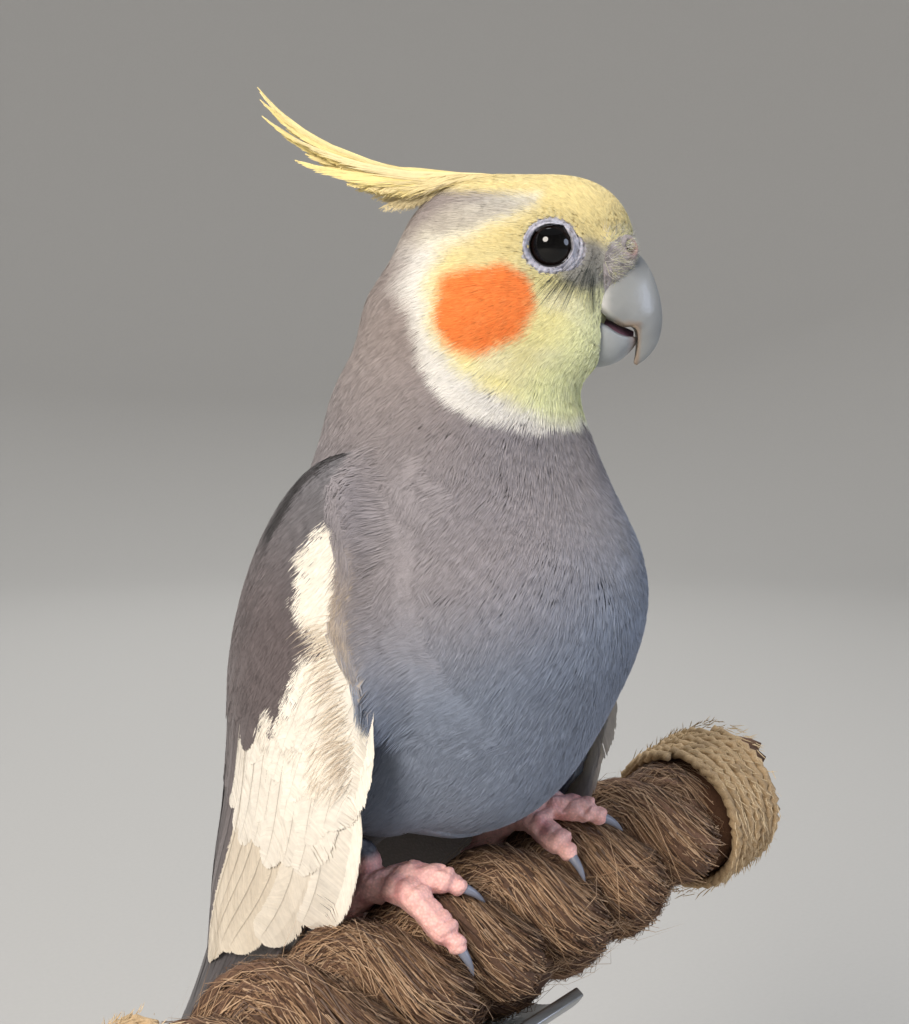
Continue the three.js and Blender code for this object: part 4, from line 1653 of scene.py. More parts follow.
class Region(Enum):
    """The tracts of the coat, from the bill to the tail."""

    FACE = Tuft(20.0, 2.6, 0.34, 3, 0.062, 0.04, 0.08)
    CHEEK = Tuft(11.5, 3.9, 0.45, 3, 0.076, 0.06, 0.08)
    CROWN = Tuft(9.5, 4.2, 0.45, 3, 0.078, 0.08, 0.09)
    NECK = Tuft(5.2, 5.0, 0.70, 4, 0.100, 0.10, 0.12)
    BREAST = Tuft(3.0, 6.0, 1.0, 5, 0.13, 0.10, 0.10)
    BACK = Tuft(2.1, 6.6, 1.3, 5, 0.16, 0.14, 0.10)
    RUMP = Tuft(1.7, 7.5, 1.4, 6, 0.150, 0.25, 0.12)

    @property
    def number(self) -> int:
        """The tract's place in the order."""
        return list(Region).index(self)


def laid_flat(values: Array) -> Array:
    """Joins an array's first two axes."""
    return values.reshape(-1, *values.shape[2:])


def fans(
    tuft: Tuft, spine: Array, side: Array, out: Array, size: Array, colour: Array, place: Array,
    rng: np.random.Generator,
) -> Surface:
    """Small feathers as fans of barbs.

    Args:
        tuft: their kind.
        spine: root, middle and tip of each feather, (feathers, 3, 3).
        side: the way across each feather.
        out: the way out of the coat at each feather.
        size: each feather's size beside the kind's own.
        colour: each feather's colour.
        place: each feather's root on the root map.
        rng: random draws.

    Returns:
        The barbs.
    """
    n = len(spine)
    k = np.linspace(-1, 1, tuft.barbs)[None] + rng.normal(0, 0.18, (n, tuft.barbs))
    fan = tuft.spread * size[:, None, None] * k[..., None] * np.array([0.35, 0.85, 1.0])
    points = spine[:, None] + side[:, None, None] * fan[..., None]
    trim = 1 - rng.uniform(0, 0.3, k.shape) - 0.12 * k**2
    points[:, :, 2] = mixed(points[:, :, 1], points[:, :, 2], trim)
    roll = rng.normal(0, 0.22, k.shape)[..., None, None]
    facing = np.broadcast_to(unit(out[:, None, None] + side[:, None, None] * roll), points.shape)
    wide = tuft.barb * np.array([0.7, 1.0, 0.0]) * rng.uniform(0.8, 1.2, k.shape)[..., None]
    shade = (1 + rng.normal(0, 0.05, k.shape))[..., None] * np.array([0.82, 0.97, 1.03])
    tints = colour[:, None, None] * shade[..., None]
    places = np.repeat(place, tuft.barbs, axis=0)
    return strips(laid_flat(points), laid_flat(wide), laid_flat(facing), laid_flat(tints), places)


def body_place(points: Array) -> Array:
    """Places of the body and head on the root map: round the bird and up it."""
    around = np.arctan2(points[:, 0], -(points[:, 1] - 5)) / (2 * math.pi)
    return np.stack([around, points[:, 2] / 200], 1)


DOWN = Feather("contour_feathers", 0.75, 1.5)


class BodyCoat:
    """The small feathers of the head and body, laid over the plumage's form."""

    def __init__(self) -> None:
        """Collects the faces that feathers grow from."""
        corners = []
        for name in ("head", "neck", "trunk"):
            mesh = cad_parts[name].data
            mesh.calc_loop_triangles()
            index = np.array([t.vertices[:] for t in mesh.loop_triangles])
            corners.append(points_of(mesh)[index])
        faces = np.concatenate(corners)
        edge = np.cross(faces[:, 1] - faces[:, 0], faces[:, 2] - faces[:, 0])
        middle = faces.mean(1)
        outward = (unit(edge) * PLUMAGE.normal(middle)).sum(1) > 0.6
        near = np.abs(PLUMAGE.distance(middle)) < slack_at(middle)
        self.faces = faces[near & outward]
        self.areas = np.linalg.norm(edge[near & outward], axis=1) / 2
        self.wings = [solid_tree(f"wing_{side.word}") for side in Side]

    @staticmethod
    def region_of(points: Array) -> Array:
        """Finds the tract that each point is in.

        Args:
            points: places on the plumage's surface.

        Returns:
            The tracts' numbers.
        """
        at = HEAD.inside(points)
        f, u = at[:, 0], at[:, 2]
        z = points[:, 2] - PERCH_TOP
        number = np.full(len(points), Region.BREAST.number)
        number[(points[:, 1] > 12 + 0.35 * (60 - z)) & (z < 74)] = Region.BACK.number
        number[z < 2] = Region.RUMP.number
        number[z > 60] = Region.NECK.number
        head = u > NECK_BELOW
        number[head] = Region.CHEEK.number
        number[head & (u > 5)] = Region.CROWN.number
        number[head & (f < -10)] = Region.NECK.number
        number[head & (f > 6.5) & (u > -15)] = Region.FACE.number
        return number

    @staticmethod
    def lie(points: Array, normals: Array) -> Array:
        """The way the feathers lie.

        Args:
            points: places on the plumage's surface.
            normals: the way out of it at each.

        Returns:
            One unit vector along the surface for each point.
        """
        at = HEAD.inside(points)
        head_way = unit(at - [16.5, 0, -0.5]) @ HEAD.axes
        below = unit(points - np.array([0, -20, 84 + PERCH_TOP]))
        z = points[:, 2:3] - PERCH_TOP
        body_way = np.array([0, 0.42, -0.85]) + below * 0.55 * ramp(z, 5, 45)
        sideways = 0.45 * np.tanh(points[:, :1] / 8) * np.array([1.0, 0, 0])
        body_way = body_way + sideways * ramp(-z, -75, -55)
        way = mixed(unit(body_way), head_way, ramp(at[:, 2], -31, -16))
        turn = 0.14 * waves(points, 5.0, 91) + 0.10 * waves(points, 2.0, 92)
        way = unit(way - normals * (way * normals).sum(1, keepdims=True))
        return unit(way + np.cross(normals, way) * turn[:, None])

    def roots(self, rng: np.random.Generator) -> tuple[Array, Array]:
        """Scatters the feathers over the plumage's surface.

        Args:
            rng: random draws.

        Returns:
            The feathers' places, and the number of each one's tract.
        """
        most = Region.FACE.value.density
        count = int(self.areas.sum() * most)
        pick = rng.choice(len(self.faces), count, p=self.areas / self.areas.sum())
        a, b = rng.random(count), rng.random(count)
        fold = a + b > 1
        a, b = np.where(fold, 1 - a, a)[:, None], np.where(fold, 1 - b, b)[:, None]
        corner = self.faces[pick]
        points = corner[:, 0] * (1 - a - b) + corner[:, 1] * a + corner[:, 2] * b
        blur = np.where(HEAD.inside(points)[:, 2:] > -16, 1.0, 4.0)
        number = self.region_of(points + rng.normal(0, 1, points.shape) * blur)
        density = np.array([region.value.density for region in Region])[number]
        chosen = rng.random(count) < density / most * kept_share()
        points, number = points[chosen], number[chosen]
        points = PLUMAGE.settle(points, 0, PLUMAGE.normal(points), 2)
        keep = self.feathered(points) & ~self.in_wing(points)
        return points[keep], number[keep]

    @staticmethod
    def feathered(points: Array) -> Array:
        """Finds the points that aren't on the bare ring, the lore, the cere or the bill.

        Args:
            points: places on the plumage's surface.

        Returns:
            Whether each is feathered.
        """
        at = HEAD.inside(points)
        f, a, u = at[:, 0], np.abs(at[:, 1]), at[:, 2]
        ring = np.hypot(f - EYE_AT[0], u - EYE_AT[2]) < 4.05
        lore = np.hypot((f - 10.2) / 3.4, (u - 1.6) / 2.9) < 1
        cere = (f > 17.9 + 0.1 * (u + 5)) & (u < 4.6 - 0.2 * a) & (u > -7)
        bill = (f > 15.8) & (u <= -7) & (u > NECK_BELOW + 2)
        return ~((ring | lore) & (a > 3)) & ~cere & ~bill

    def in_wing(self, points: Array) -> Array:
        """Finds the points that lie deep inside a wing's solid.

        Args:
            points: places on the plumage's surface.

        Returns:
            Whether each is covered.
        """
        out = PLUMAGE.normal(points)
        covered = np.zeros(len(points), bool)
        low = np.nonzero(points[:, 2] - PERCH_TOP < 68)[0]
        for tree in self.wings:
            for i in low:
                way = Vector(out[i])
                _, normal, _, gap = tree.ray_cast(Vector(points[i] * MM), way, 20 * MM)
                covered[i] |= normal is not None and normal.dot(way) > 0 and gap > 1.6 * MM
        return covered

    @staticmethod
    def size_at(points: Array) -> Array:
        """How large feathers are: smaller near the bill and the eye.

        Args:
            points: places on the plumage's surface.

        Returns:
            Their sizes beside their kind's own size.
        """
        at = HEAD.inside(points)
        r = np.hypot(at[:, 0] - EYE_AT[0], at[:, 2] - EYE_AT[2])
        near_bill = 1 - 0.5 * ramp(at[:, 0], 8, 17) * (at[:, 2] > -20)
        return near_bill * (1 - 0.45 * ramp(-r, -7.5, -4.3) * (at[:, 0] > 0))

    def surface(self, tuft: Tuft, root: Array, rng: np.random.Generator) -> Surface:
        """The feathers of one tract.

        Args:
            tuft: the feathers' kind.
            root: their places on the plumage's surface.
            rng: random draws.

        Returns:
            The tract's barbs.
        """
        normal = PLUMAGE.normal(root)
        way = self.lie(root, normal)
        stray = rng.normal(0, tuft.rough, (len(root), 1))
        way = way * np.cos(stray) + np.cross(normal, way) * np.sin(stray)
        side = np.cross(normal, way)
        size = self.size_at(root)
        length = tuft.length * size * rng.uniform(0.8, 1.15, len(root))
        deep = BodySkin.depth(root)
        tip = rng.uniform(-0.25, 1.0, len(root)) * tuft.lift
        height = np.stack([-deep, -0.14 * deep, tip], 1)
        reach = length[:, None] * np.array([-0.5, 0.0, 0.5])
        spine = root[:, None] + way[:, None] * reach[..., None]
        spine = PLUMAGE.settle(spine, height, np.broadcast_to(normal[:, None], spine.shape))
        colour = MARKS.body(spine[:, 2])
        return fans(tuft, spine, side, normal, size, colour, body_place(root), rng)

    def build(self) -> None:
        """Builds every tract, each side on its own."""
        rng = np.random.default_rng(200)
        points, number = self.roots(rng)
        sides = np.where(points[:, 2] > PERCH_TOP + 66, HEAD.inside(points)[:, 1], points[:, 0])
        for region in Region:
            slot = "face_feathers" if region.number < 3 else "body_feathers"
            for side in Side:
                here = points[(number == region.number) & (sides * side.value >= 0)]
                piece = self.surface(region.value, here, rng)
                dress(piece.made(f"coat_{region.name.lower()}_{side.word}"), DOWN, slot)


@dataclass(frozen=True)
class Bristles:
    """The fine dark bristles of the face: a fan below the eye, and short ones over the cere."""

    fan: int = 170
    short: int = 1300
    arc: tuple[tuple[float, float], ...] = (
        (8.4, -1.9), (10.2, -1.9), (12.0, -1.6), (13.6, -0.8), (14.8, -0.2), (15.6, -1.6), (15.4, -3.6),
    )
    hues: tuple[str, ...] = ("#5f5f55", "#9b9a8a", "#ddd8cf", "#d3d3a0")
    bill_root: tuple[float, float, float] = (13.0, 0, 1.0)  # what the short ones point away from

    @staticmethod
    def laid(at: Array, way: Array, length: Array, lift: Array, wide: float, tint: Array) -> Surface:
        """Lays bristles on the face.

        Args:
            at: roots, as forward, left and up.
            way: the way each one points, in the same frame.
            length: their lengths.
            lift: how far their tips stand off.
            wide: half width at the root.
            tint: their colours.

        Returns:
            The bristles.
        """
        root, t = HEAD.outside(at), np.linspace(0, 1, 5)
        way = way @ HEAD.axes
        root = FACE.settle(root, root[:, 0] * 0, FACE.normal(root), 4)
        normal = FACE.normal(root)
        way = unit(way - normal * (way * normal).sum(1, keepdims=True))
        spine = root[:, None] + way[:, None] * (length[:, None] * t)[..., None]
        height = -0.1 + 0.2 * t + lift[:, None] * t**1.5
        out = np.broadcast_to(normal[:, None], spine.shape)
        spine = FACE.settle(spine, height, out)
        widths = np.broadcast_to(wide * (1 - 0.75 * t), spine.shape[:2])
        tints = np.broadcast_to(tint[:, None], spine.shape)
        return strips(spine, widths, out, tints, body_place(root))

    def fanned(self, side: Side, rng: np.random.Generator) -> Surface:
        """The longer bristles below one eye.

        Args:
            side: the eye's side.
            rng: random draws.

        Returns:
            The bristles.
        """
        u = rng.random(self.fan)
        place = smooth_curve([(f, 0, h) for f, h in self.arc], u) + rng.normal(0, 0.85, (self.fan, 3))
        place[:, 1] = 7.5 * side.value
        back = np.stack([place[:, 0] - 15.4, u * 0, place[:, 2] - 2.2], 1)
        way = unit(unit(back) + np.array([-0.12, 0, -0.35]))
        length = rng.uniform(2.5, 7.0, self.fan) * np.interp(u, [0, 0.4, 1], [0.8, 1, 0.75])
        tint = linear("#3c403a") * rng.uniform(0.6, 1.7, self.fan)[:, None]
        return self.laid(place, way, length, rng.uniform(0.05, 0.35, self.fan), 0.024, tint)

    def shorter(self, side: Side, rng: np.random.Generator) -> Surface:
        """The short bristles over one side of the cere, clear of the nostril.

        Args:
            side: the cere's side.
            rng: random draws.

        Returns:
            The bristles.
        """
        nostril = [NOSTRIL_AT[0], NOSTRIL_AT[2]]
        f = 15.6 + 5.6 * rng.random(self.short) ** 1.6
        h = rng.uniform(-6.0, 4.4, self.short)
        place = np.stack([f, rng.uniform(0.2, 6.5, self.short) * side.value, h], 1)
        tip = place + 1.0 * unit(place - self.bill_root)
        root_gap, tip_gap = (np.linalg.norm(p[:, [0, 2]] - nostril, axis=1) for p in (place, tip))
        keep = (root_gap > 1.2) & (tip_gap > 1.1) & (h < 4.6 - 0.2 * (f - 18)) & (f > 15.6 - 0.35 * h)
        place = place[keep]
        away = place - self.bill_root
        away[:, 1] *= 0.3
        way = unit(unit(away) + rng.normal(0, 0.35, place.shape))
        hues = np.array([linear(code) for code in self.hues])
        tint = hues[rng.choice(len(hues), len(place), p=[0.2, 0.25, 0.3, 0.25])]
        length = rng.uniform(0.8, 2.2, len(place))
        return self.laid(place, way, length, rng.uniform(0.1, 0.5, len(place)), 0.028, tint)

    def build(self) -> None:
        """Builds both kinds as one piece."""
        rng = np.random.default_rng(260)
        parts = [kind(side, rng) for side in Side for kind in (self.fanned, self.shorter)]
        dress(Surface.joined(parts).made("coat_bristles"), DOWN, "face_feathers")


@dataclass(frozen=True)
class Vane:
    """Shape of a larger feather: a shaft with barbs to both sides."""

    barbs: int  # on each side
    steps: int = 4
    angle: float = 0.42  # how far forward barbs reach, as a share of what is left of the feather
    taper: float = 0.75  # where the vane is widest
    camber: float = 0.25
    ragged: float = 0.05
    loose: float = 0.0  # how far barbs stray from a closed vane
    roll: float = 0.04  # how far barbs roll about their own length, in radians
    shaft: float = 0.16
    cover: float = 0.9  # half width of a barb beside the gap to the next
    stem: float = 1.0  # how wide the vane's base is beside the rest


def vanes(
    kind: Vane,
    length: Array,
    half: Array,
    guide: Callable[[Array, Array, Array], Array],
    facing: Callable[[Array, Array], Array],
    tint: Callable[[Array, Array, Array], Array],
    place: Callable[[Array, Array], Array],
    rng: np.random.Generator,
) -> Surface:
    """Larger feathers, built barb by barb.

    Args:
        kind: the feathers' shape.
        length: length of each feather.
        half: half width of each feather.
        guide: turns along, across and height, each (feathers, barbs, steps), into places.
        facing: turns along and across into the way the vane looks.
        tint: gives colours for along as a share, across as a share, and a random value for each barb.
        place: gives each barb's root on the root map from along and across.
        rng: random draws.

    Returns:
        The feathers' barbs and shafts.
    """
    n, b = len(length), kind.barbs
    long, half_width = length[:, None, None], half[:, None, None]
    start = np.tile(np.linspace(0.02, 0.985, b), 2)
    side = np.repeat([-1.0, 1.0], b)
    w = np.append(np.linspace(0, 0.92, kind.steps - 1), 1.0)
    start = start[None] + rng.normal(0, 0.12 / b, (n, 2 * b))
    stray = rng.normal(0, kind.ragged, (n, 2 * b))
    end = start + (1 - start) * kind.angle + kind.loose * rng.normal(0, 0.05, (n, 2 * b))
    end = np.clip(end, 0, 1)
    rise = np.clip(end / kind.taper, 0, 1)
    fall = np.clip((1 - end) / (1 - kind.taper), 0, 1)
    widening, narrowing = 0.35 + 0.65 * np.sin(rise * math.pi / 2), np.sqrt(fall * (2 - fall))
    outline = np.where(end < kind.taper, widening, narrowing)
    reach = outline * (1 + stray) * side[None] * (kind.stem + (1 - kind.stem) * ramp(start, 0, 0.25))
    along = start[..., None] + (end - start)[..., None] * w**1.25
    across = reach[..., None] * w**0.85
    x, y = along * long, across * half_width
    droop = kind.camber * (across**2) * half_width * 0.35
    z = -droop + rng.normal(0, 0.008, (n, 2 * b))[..., None] + 0.08 * (1 - w)
    points, face = guide(x, y, z), facing(x, y)
    roll = rng.normal(0, kind.roll, (n, 2 * b))[..., None, None]
    run = unit(np.gradient(points, axis=2))
    face = unit(face + np.cross(face, run) * roll)
    gap = length / b
    wide = gap[:, None, None] * kind.cover * np.interp(w, [0, 0.5, 0.92, 1], [1.0, 1.1, 1.0, 0])
    tints = tint(along, across, rng.normal(0, 1, (n, 2 * b)))
    barbs = (points, np.broadcast_to(wide, x.shape), face, tints, place(x[..., 0], y[..., 0]))
    t = np.linspace(0, 0.99, 12)
    sx = np.broadcast_to(t, (n, 1, 12)) * long
    none = sx * 0
    shaft_wide = kind.shaft * (1 - 0.85 * t) * np.minimum(1, half / 3)[:, None, None]
    shaft_tint = tint(np.broadcast_to(t, sx.shape), none, np.zeros((n, 1))) * 0.72
    shafts = (
        guide(sx, none, none + 0.16), np.broadcast_to(shaft_wide, sx.shape), facing(sx, none),
        shaft_tint, place(sx[..., 0], none[..., 0]),
    )
    return Surface.joined([strips(*(laid_flat(values) for values in kit)) for kit in (barbs, shafts)])


@dataclass(frozen=True)
class Row:
    """Rows of like feathers on a blade, in millimetres on its chart."""

    kind: Vane
    along: tuple[float, ...]  # where the rows start
    across: tuple[float, float]  # from and to
    gap: float  # between feathers in a row
    length: float
    half: float
    height: float
    turn: float = 0.0  # how far the feathers lean towards the back, in radians
    flight: bool = False
    stagger: float = 0.0  # growth of length across the row
    bow: float = 0.0  # further growth over the first feathers


def chart_place(s: Array, q: Array) -> Array:
    """Places on the root map of feathers on a blade's chart."""
    return np.stack([s / 150, q / 60], -1)


@dataclass
class BladeCoat:
    """The feathers laid on one blade."""

    blade: Blade
    rows: tuple[Row, ...]
    margin: float = -1.0  # how far the feathers' middles keep off the blade's front edge

    def surface(self, row: Row, seed: int) -> Surface:
        """Builds one set of rows.

        Args:
            row: the rows.
            seed: seed of their random draws.

        Returns:
            The feathers.
        """
        rng = np.random.default_rng(seed)
        starts, acrosses = [], []
        for number, s in enumerate(row.along):
            q = np.arange(row.across[0], row.across[1] + 1e-6, row.gap) + (number % 2) * row.gap / 2
            starts.append(np.full(len(q), s))
            acrosses.append(q)
        s0, q0 = np.concatenate(starts), np.concatenate(acrosses)
        wide0 = self.blade.half_width(s0)
        inside = (q0 < wide0 + 1.0) & (q0 > self.margin - wide0)
        s0, q0, wide0 = s0[inside], q0[inside], wide0[inside]
        n = len(s0)
        s0 = s0 + rng.normal(0, row.gap * 0.12, n)
        q0 = q0 + rng.normal(0, row.gap * 0.06, n)
        step = q0 - row.across[0]
        length = row.length + row.stagger * step + row.bow * np.minimum(step, 6)
        length = length * rng.uniform(0.9, 1.1, n)
        half = np.full(n, row.half) * rng.uniform(0.93, 1.07, n)
        turn = row.turn + rng.normal(0, 0.035, n)
        share = q0 / np.maximum(wide0, 1)
        lap = row.height + np.linspace(0, 0.25, n)[rng.permutation(n)]

        def chart(x: Array, y: Array) -> tuple[Array, Array]:
            """Places on the blade's chart from places on the feathers.

            Args:
                x: millimetres along each feather.
                y: millimetres across it.

            Returns:
                The places' s and q.
            """
            s = s0[:, None, None] + x * np.cos(turn)[:, None, None]
            grown = self.blade.half_width(np.clip(s, 0, self.blade.length))
            q = share[:, None, None] * np.maximum(grown, 1)
            return s, q + x * np.sin(turn)[:, None, None] + y

        def guide(x: Array, y: Array, z: Array) -> Array:
            """Places in the row's frame from places on the feathers.

            Args:
                x: millimetres along each feather.
                y: millimetres across it.
                z: heights over the vane.

            Returns:
                One place for each.
            """
            s, q = chart(x, y)
            settle = lap[:, None, None] * (0.35 + 0.65 * x / length[:, None, None])
            return self.blade.place(s, q, z + settle)

        def facing(x: Array, y: Array) -> Array:
            """The way the blade looks under the feathers."""
            return self.blade.normal(*chart(x, y))

        tip_s, tip_q = (c[:, 0, 0] for c in chart((length * 0.8)[:, None, None], np.zeros((n, 1, 1))))
        if row.flight:
            base = linear(MARKS.flight) * rng.uniform(0.9, 1.1, n)[:, None]
        else:
            base = MARKS.wing(tip_s, tip_q, rng)

        def tint(along: Array, across: Array, draw: Array) -> Array:
            """Barb colours: a little darker at the root and paler at the edges."""
            light = (1 + 0.03 * draw)[..., None] * (0.9 + 0.1 * along + 0.06 * np.abs(across))
            return base[:, None, None] * light[..., None]

        def place(x: Array, y: Array) -> Array:
            """Roots on the root map, which is the blade's own chart."""
            s, q = chart(x[..., None], y[..., None])
            return chart_place(s[..., 0], q[..., 0])

        return vanes(row.kind, length, half, guide, facing, tint, place, rng)

    def build(self, name: str, slot: str, replaced: Sequence[str], seed: int) -> bpy.types.Object:
        """Builds all rows as one piece.

        Args:
            name: the piece's name.
            slot: its material slot.
            replaced: the solids that it stands for.
            seed: seed of the first row's random draws.

        Returns:
            The piece.
        """
        parts = [self.surface(row, seed + k) for k, row in enumerate(self.rows)]
        finish = Feather("vane_feathers", 0.62, 1.5, sheen=0.15)
        return dress(Surface.joined(parts).made(name, smooth=False), finish, slot, replaced)


MEDIUM = Vane(60, taper=0.58, ragged=0.1, loose=0.2, roll=0.06, shaft=0.05, camber=0.12)
LARGE = Vane(100, taper=0.66, ragged=0.06, loose=0.1, roll=0.05, shaft=0.08, camber=0.12)
LONG = Vane(180, taper=0.8, ragged=0.03, roll=0.03, shaft=0.14, camber=0.15, stem=0.35)
WING_ROWS = (
    Row(LONG, (34,), (-20.6, 13), 2.4, 18, 3.6, -0.35, 0.02, stagger=1.8, bow=2.1),
    Row(LARGE, (32, 38), (-19.4, 13), 2.6, 19, 3.0, -0.05, 0.1, stagger=0.25),
    Row(MEDIUM, (25, 28, 31, 34), (-19.2, 14), 2.4, 13, 2.3, 0.12, 0.2),
)
STREAMER = Vane(190, taper=0.7, ragged=0.02, shaft=0.45)
TAIL_FEATHER = Vane(120, taper=0.75, ragged=0.02, shaft=0.35)
PRIMARY_ROWS = (Row(LONG, (2,), (-7, 7), 2.2, 70, 3.2, 0.0, flight=True, stagger=2.6),)
TAIL_MIDDLE_ROWS = (
    Row(STREAMER, (2,), (-2.0, 2.0), 4.0, 164, 3.6, 0.0, flight=True),
    Row(LARGE, (0,), (-4, 4), 2.6, 26, 3.2, 0.5, flight=True),
)
TAIL_SIDE_ROWS = (Row(TAIL_FEATHER, (0,), (-2.4, 2.4), 2.4, 92, 3.0, 0.0, flight=True, stagger=5.0),)


@dataclass
class WingCoat:
    """The small coverts of one wing, and the flank feathers that lap over its front edge."""

    blade: Blade
    covert: Tuft = Tuft(3.4, 5.6, 0.9, 6, 0.115, 0.12, 0.09)
    flank: Tuft = Tuft(5.0, 6.5, 0.9, 6, 0.09, 0.2, 0.1)
    hair: Tuft = Tuft(1.3, 5.5, 0.5, 2, 0.028, 0.12, 0.1)

    def laid(
        self, tuft: Tuft, s: Array, q: Array, turn: Array, height: Array, colour: Array,
        rng: np.random.Generator,
    ) -> Surface:
        """Small feathers on the wing's chart.

        Args:
            tuft: their kind.
            s: places along the wing of their middles.
            q: places across it.
            turn: how far each leans towards the back, in radians.
            height: how high each lies over the wing's face.
            colour: their colours.
            rng: random draws.

        Returns:
            The barbs.
        """
        n = len(s)
        turn = turn + rng.normal(0, tuft.rough, n)
        reach = (tuft.length * rng.uniform(0.85, 1.15, n))[:, None] * np.array([-0.5, 0.0, 0.5])
        along = s[:, None] + reach * np.cos(turn)[:, None]
        across = q[:, None] + reach * np.sin(turn)[:, None]
        tip = rng.uniform(-0.2, 1, n) * tuft.lift
        level = height[:, None] + np.stack([tip * 0 - 0.9, tip * 0 - 0.12, tip], 1)
        spine = self.blade.place(along, across, level, wrap=True)
        out = self.blade.normal(s, q)
        side = unit(np.cross(out, spine[:, 2] - spine[:, 0]))
        return fans(tuft, spine, side, out, np.ones(n), colour, chart_place(s, q), rng)

    def edge(self, s: Array) -> Array:
        """Half the wing's width at s, which may lie past its ends."""
        return self.blade.half_width(np.clip(s, 0, self.blade.length))

    def coverts(self, rng: np.random.Generator) -> Surface:
        """The lesser coverts, from the shoulder to the middle of the wing.

        Args:
            rng: random draws.

        Returns:
            The feathers.
        """
        count = int(46 * 50 * self.covert.density * kept_share())
        s, q = rng.uniform(-2.5, 43, count), rng.uniform(-29, 25, count)
        edge = self.edge(s)
        keep = (q < edge + 0.8) & (rng.random(count) < ramp(-s, -43, -36) + 0.02)
        under_s = [0, 5, 10, 13, 16, 20, 28, 34]
        keep &= q + edge > np.interp(s, under_s, [5.0, 5.5, 3.2, 1.4, 0.0, -3, -5, -0.5])
        s, q, edge = s[keep], q[keep], edge[keep]
        turn = 0.22 + 0.1 * waves(np.stack([s, q, s * 0], -1), 6.0, 95)
        reach = self.covert.length * 0.5
        tip_s, tip_q = s + reach * np.cos(turn), q + reach * np.sin(turn)
        colour = MARKS.wing(tip_s, tip_q, rng)
        # Painted shadow of the gap between the back and the right wing, laid dark on the right wing's
        # coverts only.
        if self.blade.side is Side.RIGHT:
            gap_shadow_share = ramp(tip_q, 2.5, 4) * ramp(-tip_q, -8.5, -7)
            gap_shadow_share = gap_shadow_share * ramp(-tip_s, -23, -18) * ramp(tip_s, 2, 5)
            colour = mixed(colour, linear(MARKS.gap_shadow), gap_shadow_share)
        near_neck = ramp(-(tip_s + 0.8 * (tip_q + 3)), -8, 0)
        colour = mixed(colour, MARKS.body(self.blade.place(tip_s, tip_q, s * 0)), near_neck)
        return self.laid(self.covert, s, q, turn, 0.35 * ramp(q + edge, 0, 6), colour, rng)

    @staticmethod
    def lap(s: Array) -> Array:
        """How far the flank feathers reach over the wing from its front edge."""
        at = [-4, 0, 5, 10, 13, 18, 22, 27, 33, 42, 50]
        return np.interp(s, at, [6.0, 6.5, 7.0, 3.4, 2.0, 2.8, 2.8, 1.3, -0.3, -2.0, -4.0])

    def bridge(self, s: Array, w: Array) -> Array:
        """Places on the plumage's smooth run from the breast up over the wing's front edge.

        Args:
            s: places along the wing.
            w: from 0 on the breast to 1 on the wing.

        Returns:
            One place for each row.
        """
        edge, lap = self.edge(s), self.lap(s)
        start = self.blade.place(s, -edge - 6.5, s * 0)
        for _ in range(3):
            start = PLUMAGE.settle(start, 0.1, PLUMAGE.normal(start), 1)
        end = self.blade.place(s, lap - edge, s * 0 + 0.3)
        out = unit(PLUMAGE.normal(start) + self.blade.normal(s, 1 - edge))
        corner = self.blade.place(s, -edge, s * 0) + 1.2 * out
        control = 2 * corner - 0.5 * (start + end)
        w = w[..., None]
        run = start * (1 - w) ** 2 + 2 * control * w * (1 - w) + end * w**2
        flush = PLUMAGE.settle(run, 0.02, PLUMAGE.normal(run), 2)
        run = mixed(flush, run, ramp(w[..., 0], 0.05, 0.5))
        over = self.blade.place(s, lap * (w[..., 0] - 0.5) * 2 - edge, s * 0 + 0.75)
        return mixed(run, over, ramp(w[..., 0], 0.55, 0.8) * ramp(lap, 0.5, 2.0))

    def bridge_frame(self, s: Array, w: Array) -> tuple[Array, Array, Array]:
        """Measures the bridge at its places.

        Args:
            s: places along the wing.
            w: places across the bridge.

        Returns:
            How the places move with s and with w, and the way out of the bridge.
        """
        way_s = (self.bridge(s + 0.3, w) - self.bridge(s - 0.3, w)) / 0.6
        way_w = (self.bridge(s, w + 0.03) - self.bridge(s, w - 0.03)) / 0.06
        out = unit(np.cross(way_s, way_w))
        like = PLUMAGE.normal(self.bridge(s, w)) + self.blade.normal(s, 1 - self.edge(s))
        return way_s, way_w, out * np.where((out * like).sum(-1, keepdims=True) < 0, -1.0, 1.0)

    def swept(self, s0: Array, w0: Array, reach: Array, turn: Array) -> tuple[Array, Array]:
        """Places along feathers that sweep from the breast down and back over the bridge.

        Args:
            s0: where their roots are along the wing.
            w0: where their roots are across the bridge.
            reach: distances from the root, (feathers, steps).
            turn: how far each strays, in radians.

        Returns:
            The places' s and w, (feathers, steps).
        """
        step_s, step_w = s0 * 0, w0 * 0
        half = reach[:, -1] / 2
        for _ in range(3):
            s, w = s0 + half * step_s, w0 + half * step_w
            way_s, way_w, out = self.bridge_frame(s, w)
            way = BodyCoat.lie(self.bridge(s, w), out) + 0.6 * unit(way_w)
            way = unit(way - out * (way * out).sum(1, keepdims=True))
            way = way * np.cos(turn)[:, None] + np.cross(out, way) * np.sin(turn)[:, None]
            ss, sw, ww = (way_s**2).sum(1), (way_s * way_w).sum(1), (way_w**2).sum(1)
            on_s, on_w = (way * way_s).sum(1), (way * way_w).sum(1)
            spread = np.maximum(ss * ww - sw**2, 1.0)
            step_s = np.clip((on_s * ww - on_w * sw) / spread, 0.3, 1.3)
            step_w = np.clip((on_w * ss - on_s * sw) / spread, -0.03, 0.1)
            gone = self.bridge(s0 + 2 * half * step_s, w0 + 2 * half * step_w) - self.bridge(s0, w0)
            gone = np.maximum(np.linalg.norm(gone, axis=1), 0.1)
            short = np.clip(2 * half / gone, 0.3, 1.15)
            step_s, step_w = step_s * short, step_w * short
        return s0[:, None] + reach * step_s[:, None], w0[:, None] + reach * step_w[:, None]

